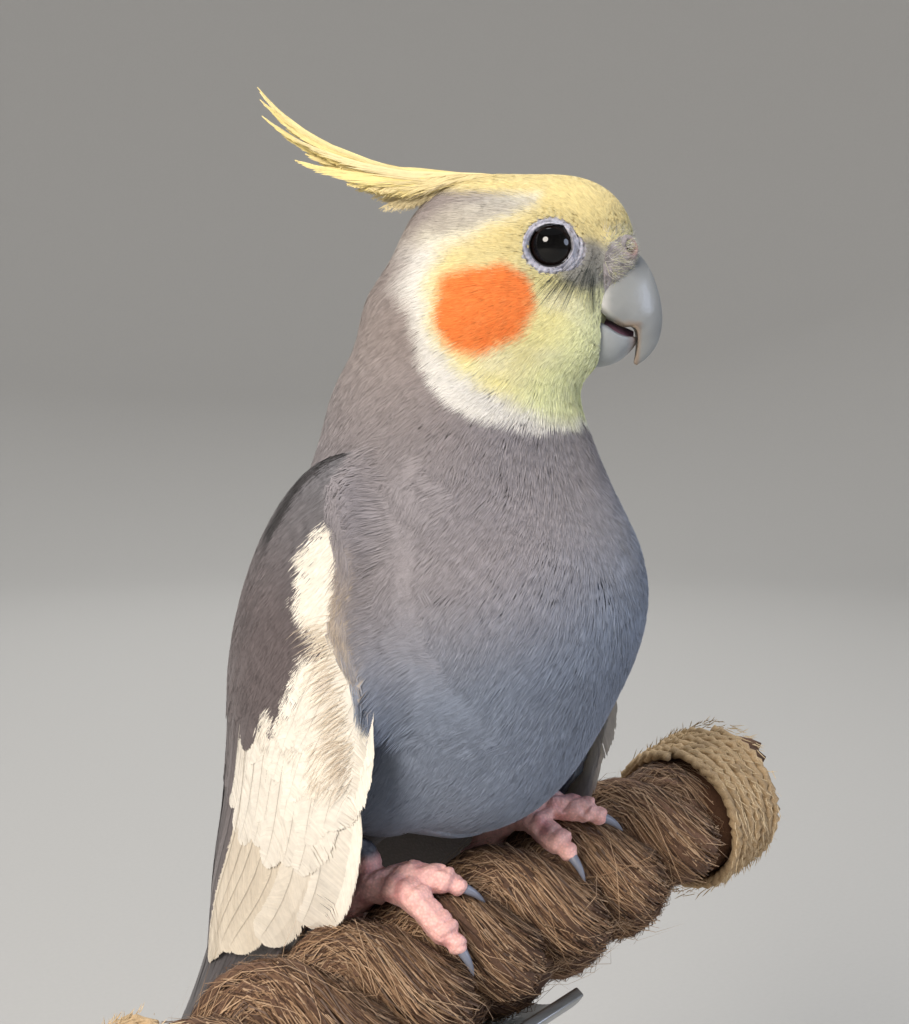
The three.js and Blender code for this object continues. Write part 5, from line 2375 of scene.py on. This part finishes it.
    def flanks(self, rng: np.random.Generator) -> Surface:
        """The breast's side feathers, which thin out over the white of the wing.

        Args:
            rng: random draws.

        Returns:
            The feathers.
        """
        count = int(50 * 14 * self.flank.density * kept_share())
        s0, w0 = rng.uniform(-8, 42, count), rng.uniform(-0.45, 0.66, count)
        keep = (w0 > 0.3 - 0.1 * (s0 + 8)) | (rng.random(count) < 0.1)
        keep &= rng.random(count) < ramp(-s0, -39, -27)
        keep &= w0 < np.interp(s0, [22, 38], [0.7, 0.0])
        keep &= (s0 > -3) | (self.blade.side is Side.RIGHT)
        s0, w0 = s0[keep], w0[keep]
        count = len(s0)
        turn = rng.normal(0, self.flank.rough, count)
        length = self.flank.length * rng.uniform(0.8, 1.15, count)
        reach = length[:, None] * np.array([0.0, 0.5, 1.0])
        s, w = self.swept(s0, w0, reach, turn)
        w = np.minimum(w, np.interp(s, [30, 42], [1.08, 0.45]) * rng.uniform(0.8, 1.1, (count, 1)))
        at, out = self.bridge(s, w), self.bridge_frame(s, w)[2]
        tip = rng.uniform(-0.3, 1, count) * self.flank.lift * ramp(w0, -0.5, 0.1)
        at = at + out * np.stack([tip * 0 - 0.6, tip * 0 - 0.1, tip], 1)[..., None]
        out = out[:, 1]
        side = unit(np.cross(out, at[:, 2] - at[:, 0]))
        tan = ramp(w[:, 2], 0.75, 1.05) * ramp(s0, 6, 14) * rng.uniform(0.2, 0.85, count)
        colour = mixed(MARKS.body(at[:, 2]), linear("#cbb79b"), tan)
        place = np.stack([s0 / 60, w0], 1)
        return fans(self.flank, at, side, out, np.ones(count), colour, place, rng)

    def hairs(self, rng: np.random.Generator) -> Surface:
        """The flank's longest barbs, fine and tan, that stray over the white of the wing.

        Args:
            rng: random draws.

        Returns:
            The barbs.
        """
        count = int(36 * 8 * self.hair.density * kept_share())
        s, past = rng.uniform(20, 46, count), rng.uniform(0, 5, count)
        keep = rng.random(count) < ramp(-past, -5, -1) * ramp(s, 20, 26)
        s, past = s[keep], np.maximum(self.lap(s), -1)[keep] + past[keep] + 1.4
        q = past - self.blade.half_width(s)
        turn = 0.1 * waves(np.stack([s, q, s * 0], -1), 5.0, 97)
        turn = np.interp(s, [15, 33, 45], [0.55, 0.4, 0.2]) + turn
        colour = blend("#e9dcc6", "#b8a591", rng.random(len(s)) ** 1.5)
        return self.laid(self.hair, s, q, turn, s * 0 + 0.72, colour, rng)

    def build(self, seed: int) -> None:
        """Builds the coverts and the flank feathers.

        Args:
            seed: seed of the random draws.
        """
        rng = np.random.default_rng(seed)
        word = self.blade.side.word
        dress(self.coverts(rng).made(f"coat_wing_{word}"), DOWN, "wing_feathers")
        flank = Surface.joined([self.flanks(rng), self.hairs(rng)])
        dress(flank.made(f"coat_flank_{word}"), DOWN, "body_feathers")


@dataclass(frozen=True)
class Crest:
    """The raised crest: long slender feathers that rise from the crown and curl up at their tips."""

    count: int = 72
    order: tuple[float, ...] = (0, 0.08, 0.2, 0.4, 0.6, 0.8, 1)  # from the front feather to the rear
    tip_forward: tuple[float, ...] = (-33.4, -32.3, -30.2, -25.5, -21, -16.5, -12.5)
    tip_up: tuple[float, ...] = (25.1, 22.8, 19.4, 15.2, 12.4, 9.6, 8.0)
    kind: Vane = Vane(
        130, steps=5, angle=0.58, taper=0.3, ragged=0.35, loose=1.0, roll=0.1, shaft=0.04,
        camber=0.2, cover=0.2,
    )

    def build(self) -> bpy.types.Object:
        """Builds the crest."""
        rng = np.random.default_rng(300)
        order = np.linspace(0, 1, self.count) ** 0.85
        spread = rng.normal(0, 1.0, self.count)
        start = np.stack([12.5 - 15 * order, spread * 1.4, 0 * order], 1)
        start[:, 2] = np.interp(start[:, 0], [-4, 2, 9, 14], [11.9, 12.4, 10.9, 9.5])
        end_f = np.interp(order, self.order, self.tip_forward)
        end_u = np.interp(order, self.order, self.tip_up)
        jitter = rng.normal(0, 0.9, (self.count, 2)) * (order[:, None] > 0.05)
        narrow = spread * (0.2 + 0.9 * ramp(order, 0, 0.4))
        tip = np.stack([end_f + jitter[:, 0], narrow, end_u + 0.6 * jitter[:, 1]], 1)
        rise = np.interp(order, [0, 0.3, 0.7, 1], [0.9, 0.45, -0.15, -0.45])
        run = start[:, 0] - tip[:, 0]
        first = start + np.stack([-0.4 * run, 0 * run, 0.03 * run], 1)
        last = tip + np.stack([0.34 * run * np.cos(rise), 0 * run, -0.34 * run * np.sin(rise)], 1)
        bezier = np.stack([start, first, last, tip], 1)

        def spine(t: Array) -> Array:
            """Places along the feathers' shafts, in the head's frame.

            Args:
                t: shares of the way to the tip.

            Returns:
                One place for each share.
            """
            t = t[..., None]
            c = bezier[:, None, None]
            a, b, d, e = (c[..., k, :] for k in range(4))
            return a * (1 - t) ** 3 + 3 * b * t * (1 - t) ** 2 + 3 * d * t**2 * (1 - t) + e * t**3

        line = spine(np.linspace(0, 1, 20)[None, None].repeat(self.count, 0))
        length = np.linalg.norm(np.diff(line, axis=2), axis=3).sum(2)[:, 0]
        tilt = -np.sign(spread) * rng.normal(1.1, 0.3, self.count)
        level = rng.uniform(-0.1, 0.25, self.count)

        def frame_at(x: Array) -> tuple[Array, Array, Array]:
            """The shaft's place, side and upward way.

            Args:
                x: millimetres along each feather.

            Returns:
                The place, the way across and the way out of the vane.
            """
            t = np.clip(x / length[:, None, None], 0, 1)
            at, run = spine(t), unit(spine(t + 0.01) - spine(t - 0.01))
            side = np.broadcast_to([0, 1.0, 0], run.shape)
            up = unit(np.cross(run, side))
            up = np.where(up[..., 2:] < 0, -up, up)
            turn = tilt[:, None, None, None]
            return at, side * np.cos(turn) + up * np.sin(turn), up * np.cos(turn) - side * np.sin(turn)

        def guide(x: Array, y: Array, z: Array) -> Array:
            """Places in the row's frame from places on the feathers: upper barbs are short.

            Args:
                x: millimetres along each feather.
                y: millimetres across it.
                z: heights over the vane.

            Returns:
                One place for each.
            """
            at, side, up = frame_at(x)
            y = np.where(y * tilt[:, None, None] > 0, 0.3 * y, y)
            return HEAD.outside(at + side * y[..., None] + up * (z + level[:, None, None])[..., None])

        def facing(x: Array, y: Array) -> Array:
            """The way each vane looks."""
            return frame_at(x)[2] @ HEAD.axes

        pale = blend("#efdd96", "#d9caa6", rng.random(self.count) * 0.6)
        base = mixed(pale, linear("#b9ad9a"), ramp(order, 0.75, 1.0) * 0.5)

        def tint(along: Array, across: Array, draw: Array) -> Array:
            """Barb colours."""
            light = (1 + 0.05 * draw)[..., None] * (0.97 + 0.06 * along)
            return base[:, None, None] * light[..., None]

        def place(x: Array, y: Array) -> Array:
            """Roots on the root map: along the crest and across it."""
            at = spine(np.clip(x[..., None] / length[:, None, None], 0, 1))[..., 0, :]
            return np.stack([at[..., 0] / 60, (at[..., 1] + y + level[:, None]) / 12], -1)

        half = np.interp(order, [0, 0.15, 0.5, 1], [0.4, 0.6, 1.3, 1.9])
        plumes = vanes(self.kind, length, half, guide, facing, tint, place, rng)
        finish = Feather("crest_feathers", 0.6, 1.5, sheen=0.3)
        return dress(plumes.made("crest_feathers", smooth=False), finish, "face_feathers", ["crest"])


# ---- Eyes, bill and claws ----


@dataclass(frozen=True)
class Eye:
    """A dark wet eye."""

    side: Side

    def build(self) -> bpy.types.Object:
        """Builds the eyeball with its iris."""
        middle = np.array([EYE_AT[0], EYE_AT[1] * self.side.value, EYE_AT[2]])

        def place(u: Array, angle: Array) -> Array:
            """A ball whose pole looks sideways, slightly drawn out at the cornea.

            Args:
                u: shares of the way from pole to pole.
                angle: angles round it.

            Returns:
                One place for each.
            """
            r = EYE_RADIUS * (1 + 0.02 * np.exp(-((u / 0.22) ** 2)))
            out = np.cos(math.pi * u) * r
            around = np.sin(math.pi * u) * r
            at = np.stack([around * np.cos(angle), out * self.side.value, around * np.sin(angle)], 1)
            return HEAD.outside(middle + at)

        mesh = loft(64, 64, place)
        at = HEAD.inside(points_of(mesh)) - middle
        r = np.hypot(at[:, 0], at[:, 2])
        tint = blend("#050404", "#140a07", ramp(r, 2.3, 2.5))
        tint = mixed(tint, linear("#060505"), ramp(r, 2.6, 2.8))
        paint(mesh, tint)
        piece = shown(f"eyeball_{self.side.word}", mesh)
        return dress(piece, Wet("cornea", 0.03, 1.376), "eyes", [f"eye_{self.side.word}"])


@dataclass(frozen=True)
class Horny:
    """A piece on the head's midline: a half round on one edge line and hollow on the other side.

    Stations are the edge's forward and up, the ridge's forward and up, and the half width.
    """

    name: str
    stations: tuple[tuple[float, float, float, float, float], ...]
    finish: Finish
    slot: str
    tint: Callable[[Array], Array]
    ridge: float = 0.25  # how much it narrows towards the ridge
    hollow: float = 0.3  # how far the inner side is drawn in

    def build(self) -> bpy.types.Object:
        """Builds the piece."""
        rows = np.array(self.stations)

        def place(u: Array, angle: Array) -> Array:
            """Places round each section.

            Args:
                u: shares of the way from pole to pole.
                angle: angles round it.

            Returns:
                One place for each.
            """
            edge = smooth_curve(rows[:, [0, 4, 1]] * [1, 0, 1], u)
            ridge = smooth_curve(rows[:, [2, 4, 3]] * [1, 0, 1], u)
            half = smooth_curve(rows[:, [4, 4, 4]], u)[:, 0]
            c, s = np.cos(angle), np.sin(angle)
            c = np.sign(c) * np.abs(c) ** 0.85
            rise = np.where(s > 0, np.abs(s) ** 0.9, self.hollow * np.abs(s))
            side = half * c * (1 - self.ridge * np.maximum(s, 0) ** 2)
            ends = (u < 0.002) | (u > 0.998)
            rise, side = np.where(ends, 0.2, rise), np.where(ends, 0, side)
            at = edge + (ridge - edge) * rise[:, None]
            return HEAD.outside(at + side[:, None] * np.array([0, 1.0, 0]))

        mesh = loft(88, 64, place)
        paint(mesh, self.tint(HEAD.inside(points_of(mesh))))
        return dress(shown(self.name + "_horn", mesh), self.finish, self.slot, [self.name])


def bill_tint(at: Array) -> Array:
    """Pearl grey, clouded with darker grey, with a pale root and a thin brown edge at the hook.

    Args:
        at: the bill's points, forward, left and up.

    Returns:
        One linear colour for each point.
    """
    colour = blend("#8f9292", "#707374", ramp(waves(at, 2.2, 71), 0, 1.1) * 0.5)
    colour = mixed(colour, linear("#cfcdca"), ramp(-at[:, 0], -17.4, -15.8) * 0.8)
    rear = ramp(-at[:, 2], 7.8, 8.6) * ramp(-at[:, 0], -21.9, -21.2)
    return mixed(colour, linear("#94795f"), rear * 0.65)


def lower_bill_tint(at: Array) -> Array:
    """Pale grey with a pinkish brown rim."""
    colour = blend("#989da0", "#7a7f82", ramp(waves(at, 2.0, 72), 0, 1.1) * 0.5)
    return mixed(colour, linear("#9a8378"), ramp(at[:, 0], 19.4, 20.8) * 0.6)


KERATIN = Horn("bill_keratin", 0.34, 1.54, bump=0.05, grain=0.8)
BILL = (
    Horny(
        "bill_upper",
        (
            (13.2, -5.4, 14.5, 1.6, 4.4), (14.4, -6.1, 18.4, 1.8, 4.9), (15.8, -6.9, 21.0, 1.6, 5.0),
            (17.2, -8.0, 22.8, -0.4, 4.9), (18.9, -8.9, 24.0, -3.2, 4.5), (20.3, -8.9, 24.7, -6.1, 3.8),
            (20.9, -9.3, 24.8, -8.8, 3.0), (21.2, -10.8, 24.2, -11.3, 2.1),
            (21.1, -12.6, 22.9, -13.2, 1.2), (20.8, -14.2, 21.1, -14.6, 0.35),
        ),
        KERATIN,
        "horn",
        bill_tint,
        ridge=0.35,
    ),
    Horny(
        "bill_lower",
        (
            (13.6, -7.6, 12.6, -14.0, 4.0), (15.2, -8.0, 14.8, -14.8, 4.5),
            (16.8, -8.8, 16.8, -14.6, 4.4), (18.2, -9.7, 18.6, -13.9, 3.9),
            (19.5, -10.2, 20.0, -12.8, 3.1), (20.6, -10.3, 21.0, -11.6, 2.0),
            (21.3, -10.5, 21.4, -11.0, 0.6),
        ),
        KERATIN,
        "horn",
        lower_bill_tint,
    ),
    Horny(
        "tongue",
        (
            (12.5, -9.2, 12.5, -6.6, 2.6), (15.0, -9.8, 15.0, -7.0, 3.6), (17.5, -10.5, 17.4, -8.1, 3.4),
            (19.2, -10.9, 19.2, -8.9, 2.7), (20.6, -11.0, 20.8, -9.6, 1.4),
        ),
        Skin("tongue_skin", 0.35, 1.4, bump=0.05, pebble=0.3),
        "bare_skin",
        lambda at: np.broadcast_to(linear("#7b5a6b"), at.shape),
        hollow=0.0,
    ),
)


@dataclass(frozen=True)
class Claws:
    """The claws of one foot, rounded from their solids."""

    side: Side
    curve: tuple[tuple[float, float], ...] = ((-0.1, -0.4), (0.2, 0.2), (0.62, 0.4))  # along, and out

    def build(self) -> bpy.types.Object:
        """Builds the four claws as one piece."""
        paths, u = [], np.linspace(0, 1, 12)
        for number in range(1, 5):
            base, tip = claw_ends(self.side, number)
            middle = 0.5 * (base + tip)
            out = unit(middle - [middle[0], 0, ROPE.axis(middle[0])])
            tip = base + 0.9 * (tip - base) - 0.25 * out
            stations = [base + share * (tip - base) + high * out for share, high in self.curve]
            paths.append(smooth_curve([*stations, tip], u))
        paths = np.stack(paths)
        radii = np.broadcast_to(0.98 * (1 - u) ** 0.7 + 0.1, paths.shape[:2])
        tint = np.broadcast_to(blend("#8c93a6", "#55565f", 0.8 * u), paths.shape)
        piece = tubes(paths, radii, 16, tint, (1.0, 0, 0.1)).made(f"claws_{self.side.word}")
        names = [f"claw_{self.side.word}_{k}" for k in range(1, 5)]
        return dress(piece, Horn("claw_keratin", 0.38, 1.54, bump=0.03, grain=0.4), "horn", names)


# ---- Stand ----


SHARP = math.radians(40)  # edges that turn more than this stay sharp


@dataclass(frozen=True)
class Stand:
    """The plain display stand: a turned walnut base, a steel rod with a collar, and a saddle."""

    radius: float = 74
    thick: float = 13
    rod: float = 4
    collar: float = 9
    collar_high: float = 6
    saddle_inner: float = 14.3
    saddle_outer: float = 16.1
    saddle_length: float = 26
    saddle_arc: float = math.radians(110)
    saddle_edge: float = 0.35

    @staticmethod
    def lathed(name: str, profile: Sequence[tuple[float, float]], steps: int) -> bpy.types.Object:
        """Makes a piece as on a lathe.

        Args:
            name: the piece's name.
            profile: corners as radius and height, from the axis or bore round to its start.
            steps: faces round it.

        Returns:
            The piece.
        """
        mesh = mesh_of(turned([(r * MM, z * MM) for r, z in profile], steps), name)
        mesh.set_sharp_from_angle(angle=SHARP)
        return shown(name, mesh)

    def saddle(self) -> bpy.types.Object:
        """The curved cradle under the rope."""
        shape = bmesh.new()
        half = self.saddle_arc / 2
        middle = (self.saddle_inner + self.saddle_outer) / 2
        thick = (self.saddle_outer - self.saddle_inner) / 2
        length = self.saddle_length / 2
        corners = [(-length, -thick), (length, -thick), (length, thick), (-length, thick)]
        verts = []
        for x, out in corners:
            r = middle + out
            verts.append(shape.verts.new((x * MM, math.sin(-half) * r * MM, -math.cos(half) * r * MM)))
        end = shape.faces.new(verts)
        bmesh.ops.spin(
            shape, geom=[end], cent=(0, 0, 0), axis=(1, 0, 0), angle=self.saddle_arc, steps=32
        )
        bmesh.ops.recalc_face_normals(shape, faces=shape.faces)
        sharp = [e for e in shape.edges if len(e.link_faces) == 2 and e.calc_face_angle(0) > 0.8]
        bmesh.ops.bevel(
            shape, geom=sharp, offset=self.saddle_edge * MM, segments=3, profile=0.5, affect="EDGES",
            material=-1,
        )
        turn = Matrix.Rotation(-math.atan(ROPE.slope), 4, "Y")
        place = Matrix.Translation((0, 0, float(ROPE.axis(0.0)) * MM))
        bmesh.ops.transform(shape, matrix=place @ turn, verts=shape.verts)
        mesh = mesh_of(shape, "stand_saddle_plate")
        mesh.set_sharp_from_angle(angle=SHARP)
        return shown("stand_saddle_plate", mesh)

    def build(self) -> None:
        """Builds the base, the rod, the collar and the saddle."""
        r, t = self.radius, self.thick
        base = [(0, 0), (r - 1.2, 0), (r, 1.2), (r, t - 3.4), (r - 0.4, t - 2.2), (r - 1.4, t - 1.1)]
        base += [(r - 2.8, t - 0.3), (r - 4.2, t), (0, t)]
        walnut = Walnut("oiled_walnut", 0.4, 1.5, bump=0.05)
        dress(self.lathed("stand_base_turned", base, 128), walnut, "base", ["stand_base"])
        steel = Steel("brushed_steel", 0.3)
        top = float(ROPE.axis(0.0)) - self.saddle_outer - 0.3
        low = t + 0.02
        rod = [(0, low), (self.rod, low), (self.rod, top - 1.2)]
        rod += [(self.rod - 0.5, top - 0.5), (0, top - 0.5)]
        dress(self.lathed("stand_rod_turned", rod, 48), steel, "rod", ["stand_rod"])
        bore, high = self.rod + 0.3, t + 0.3
        wide, rise = self.collar, high + self.collar_high
        collar = [(bore, high), (wide, high), (wide, high + 2.4), (wide - 0.5, high + 3.2)]
        collar += [(wide - 2.6, high + 5.6), (wide - 3.4, rise), (bore, rise), (bore, high)]
        dress(self.lathed("stand_collar_turned", collar, 64), steel, "rod", ["stand_collar"])
        dress(self.saddle(), steel, "rod", ["stand_saddle"])


# ---- Studio ----


@dataclass(frozen=True)
class Lamp:
    """A round soft light: where it stands, its size, power and colour, and what it looks at."""

    name: str
    at: tuple[float, float, float]
    size: float
    watts: float
    colour: str = "#ffffff"
    target: tuple[float, float, float] = (0, 0, 0.22)


@dataclass(frozen=True)
class Studio:
    """A pale seamless floor that curves up all round, soft light, and the camera."""

    flat: float = 1.32  # radius of the flat floor
    bend: float = 0.5  # radius of its curve up
    wall: float = 2.2  # height of its rim
    camera_at: tuple[float, float, float] = (-0.1756, -0.168, 0.2629)
    azimuth: float = math.radians(-46)
    pitch: float = math.atan(212 / 1640)
    lens: float = 36 * 1640 / 1024
    lamps: tuple[Lamp, ...] = (
        Lamp("key", (-1.05, -0.30, 0.85), 0.5, 18, "#fff6ec"),
        Lamp("fill", (0.55, -1.1, 0.55), 0.5, 5.0, "#d8e4ff"),
        Lamp("top", (0.0, 0.2, 1.5), 0.7, 9, "#ffffff"),
        Lamp("back", (0.8, 1.0, 0.9), 0.8, 6, "#ffffff"),
    )

    def floor(self) -> bpy.types.Object:
        """The floor and its curved rim."""
        profile = [(0.0, 0.0), (self.flat, 0.0)]
        for a in np.linspace(0, math.pi / 2, 13)[1:]:
            profile.append((self.flat + self.bend * math.sin(a), self.bend * (1 - math.cos(a))))
        profile.append((self.flat + self.bend, self.wall))
        shape = turned(profile, 96)
        bmesh.ops.reverse_faces(shape, faces=shape.faces)
        floor = shown("floor", mesh_of(shape, "floor"))
        floor.data.materials.append(Paper("seamless_paper", 0.9).material())
        return floor

    def build(self) -> None:
        """Sets up the floor, the lights, the surround and the camera."""
        self.floor()
        for lamp in self.lamps:
            light = bpy.data.lights.new(lamp.name, "AREA")
            light.shape = "DISK"
            light.size = lamp.size
            light.energy = lamp.watts
            light.color = tuple(linear(lamp.colour))
            stood = shown(lamp.name, light)
            stood.location = lamp.at
            way = Vector(lamp.target) - Vector(lamp.at)
            stood.rotation_euler = way.to_track_quat("-Z", "Y").to_euler()
        world = bpy.data.worlds.new("studio")
        world.use_nodes = True
        surround = world.node_tree.nodes["Background"].inputs
        surround["Color"].default_value = rgba("#d8dce2")
        surround["Strength"].default_value = 0.38
        bpy.context.scene.world = world
        bpy.context.scene.view_settings.view_transform = "Standard"
        camera = shown("camera", bpy.data.cameras.new("camera"))
        camera.data.sensor_width = 36
        camera.data.lens = self.lens
        camera.data.clip_start = 0.01
        camera.location = self.camera_at
        ahead = Vector((-math.sin(self.azimuth), math.cos(self.azimuth), 0))
        look = ahead * math.cos(self.pitch) - Vector((0, 0, math.sin(self.pitch)))
        camera.rotation_euler = look.to_track_quat("-Z", "Y").to_euler()
        bpy.context.scene.camera = camera


def main() -> None:
    """Builds the model piece by piece, then the studio."""
    logging.basicConfig(level=logging.INFO, format="%(name)s: %(message)s")
    BodySkin().build()
    BodyCoat().build()
    Bristles().build()
    for number, side in enumerate(Side):
        wing = BladeCoat(Blade(WING_STATIONS, side), WING_ROWS, margin=-0.6)
        wing.build(f"wing_feathers_{side.word}", "wing_feathers", [], 400 + 20 * number)
        WingCoat(Blade(WING_STATIONS, side)).build(410 + 20 * number)
        primaries = BladeCoat(Blade(PRIMARY_STATIONS, side), PRIMARY_ROWS)
        name = f"primaries_{side.word}"
        primaries.build(name + "_feathers", "flight_feathers", [name], 440 + 20 * number)
        tail = BladeCoat(Blade(TAIL_SIDE_STATIONS, side, on_wing=False), TAIL_SIDE_ROWS)
        name = f"tail_{side.word}"
        tail.build(name + "_feathers", "flight_feathers", [name], 480 + 20 * number)
    tail = BladeCoat(Blade(TAIL_MIDDLE_STATIONS, Side.RIGHT, on_wing=False), TAIL_MIDDLE_ROWS)
    tail.build("tail_middle_feathers", "flight_feathers", ["tail_middle"], 520)
    Crest().build()
    for piece in BILL:
        piece.build()
    for side in Side:
        Eye(side).build()
        Claws(side).build()
        Whipping(side).build()
    ROPE.build()
    Stand().build()
    Studio().build()


if __name__ == "__main__":
    main()
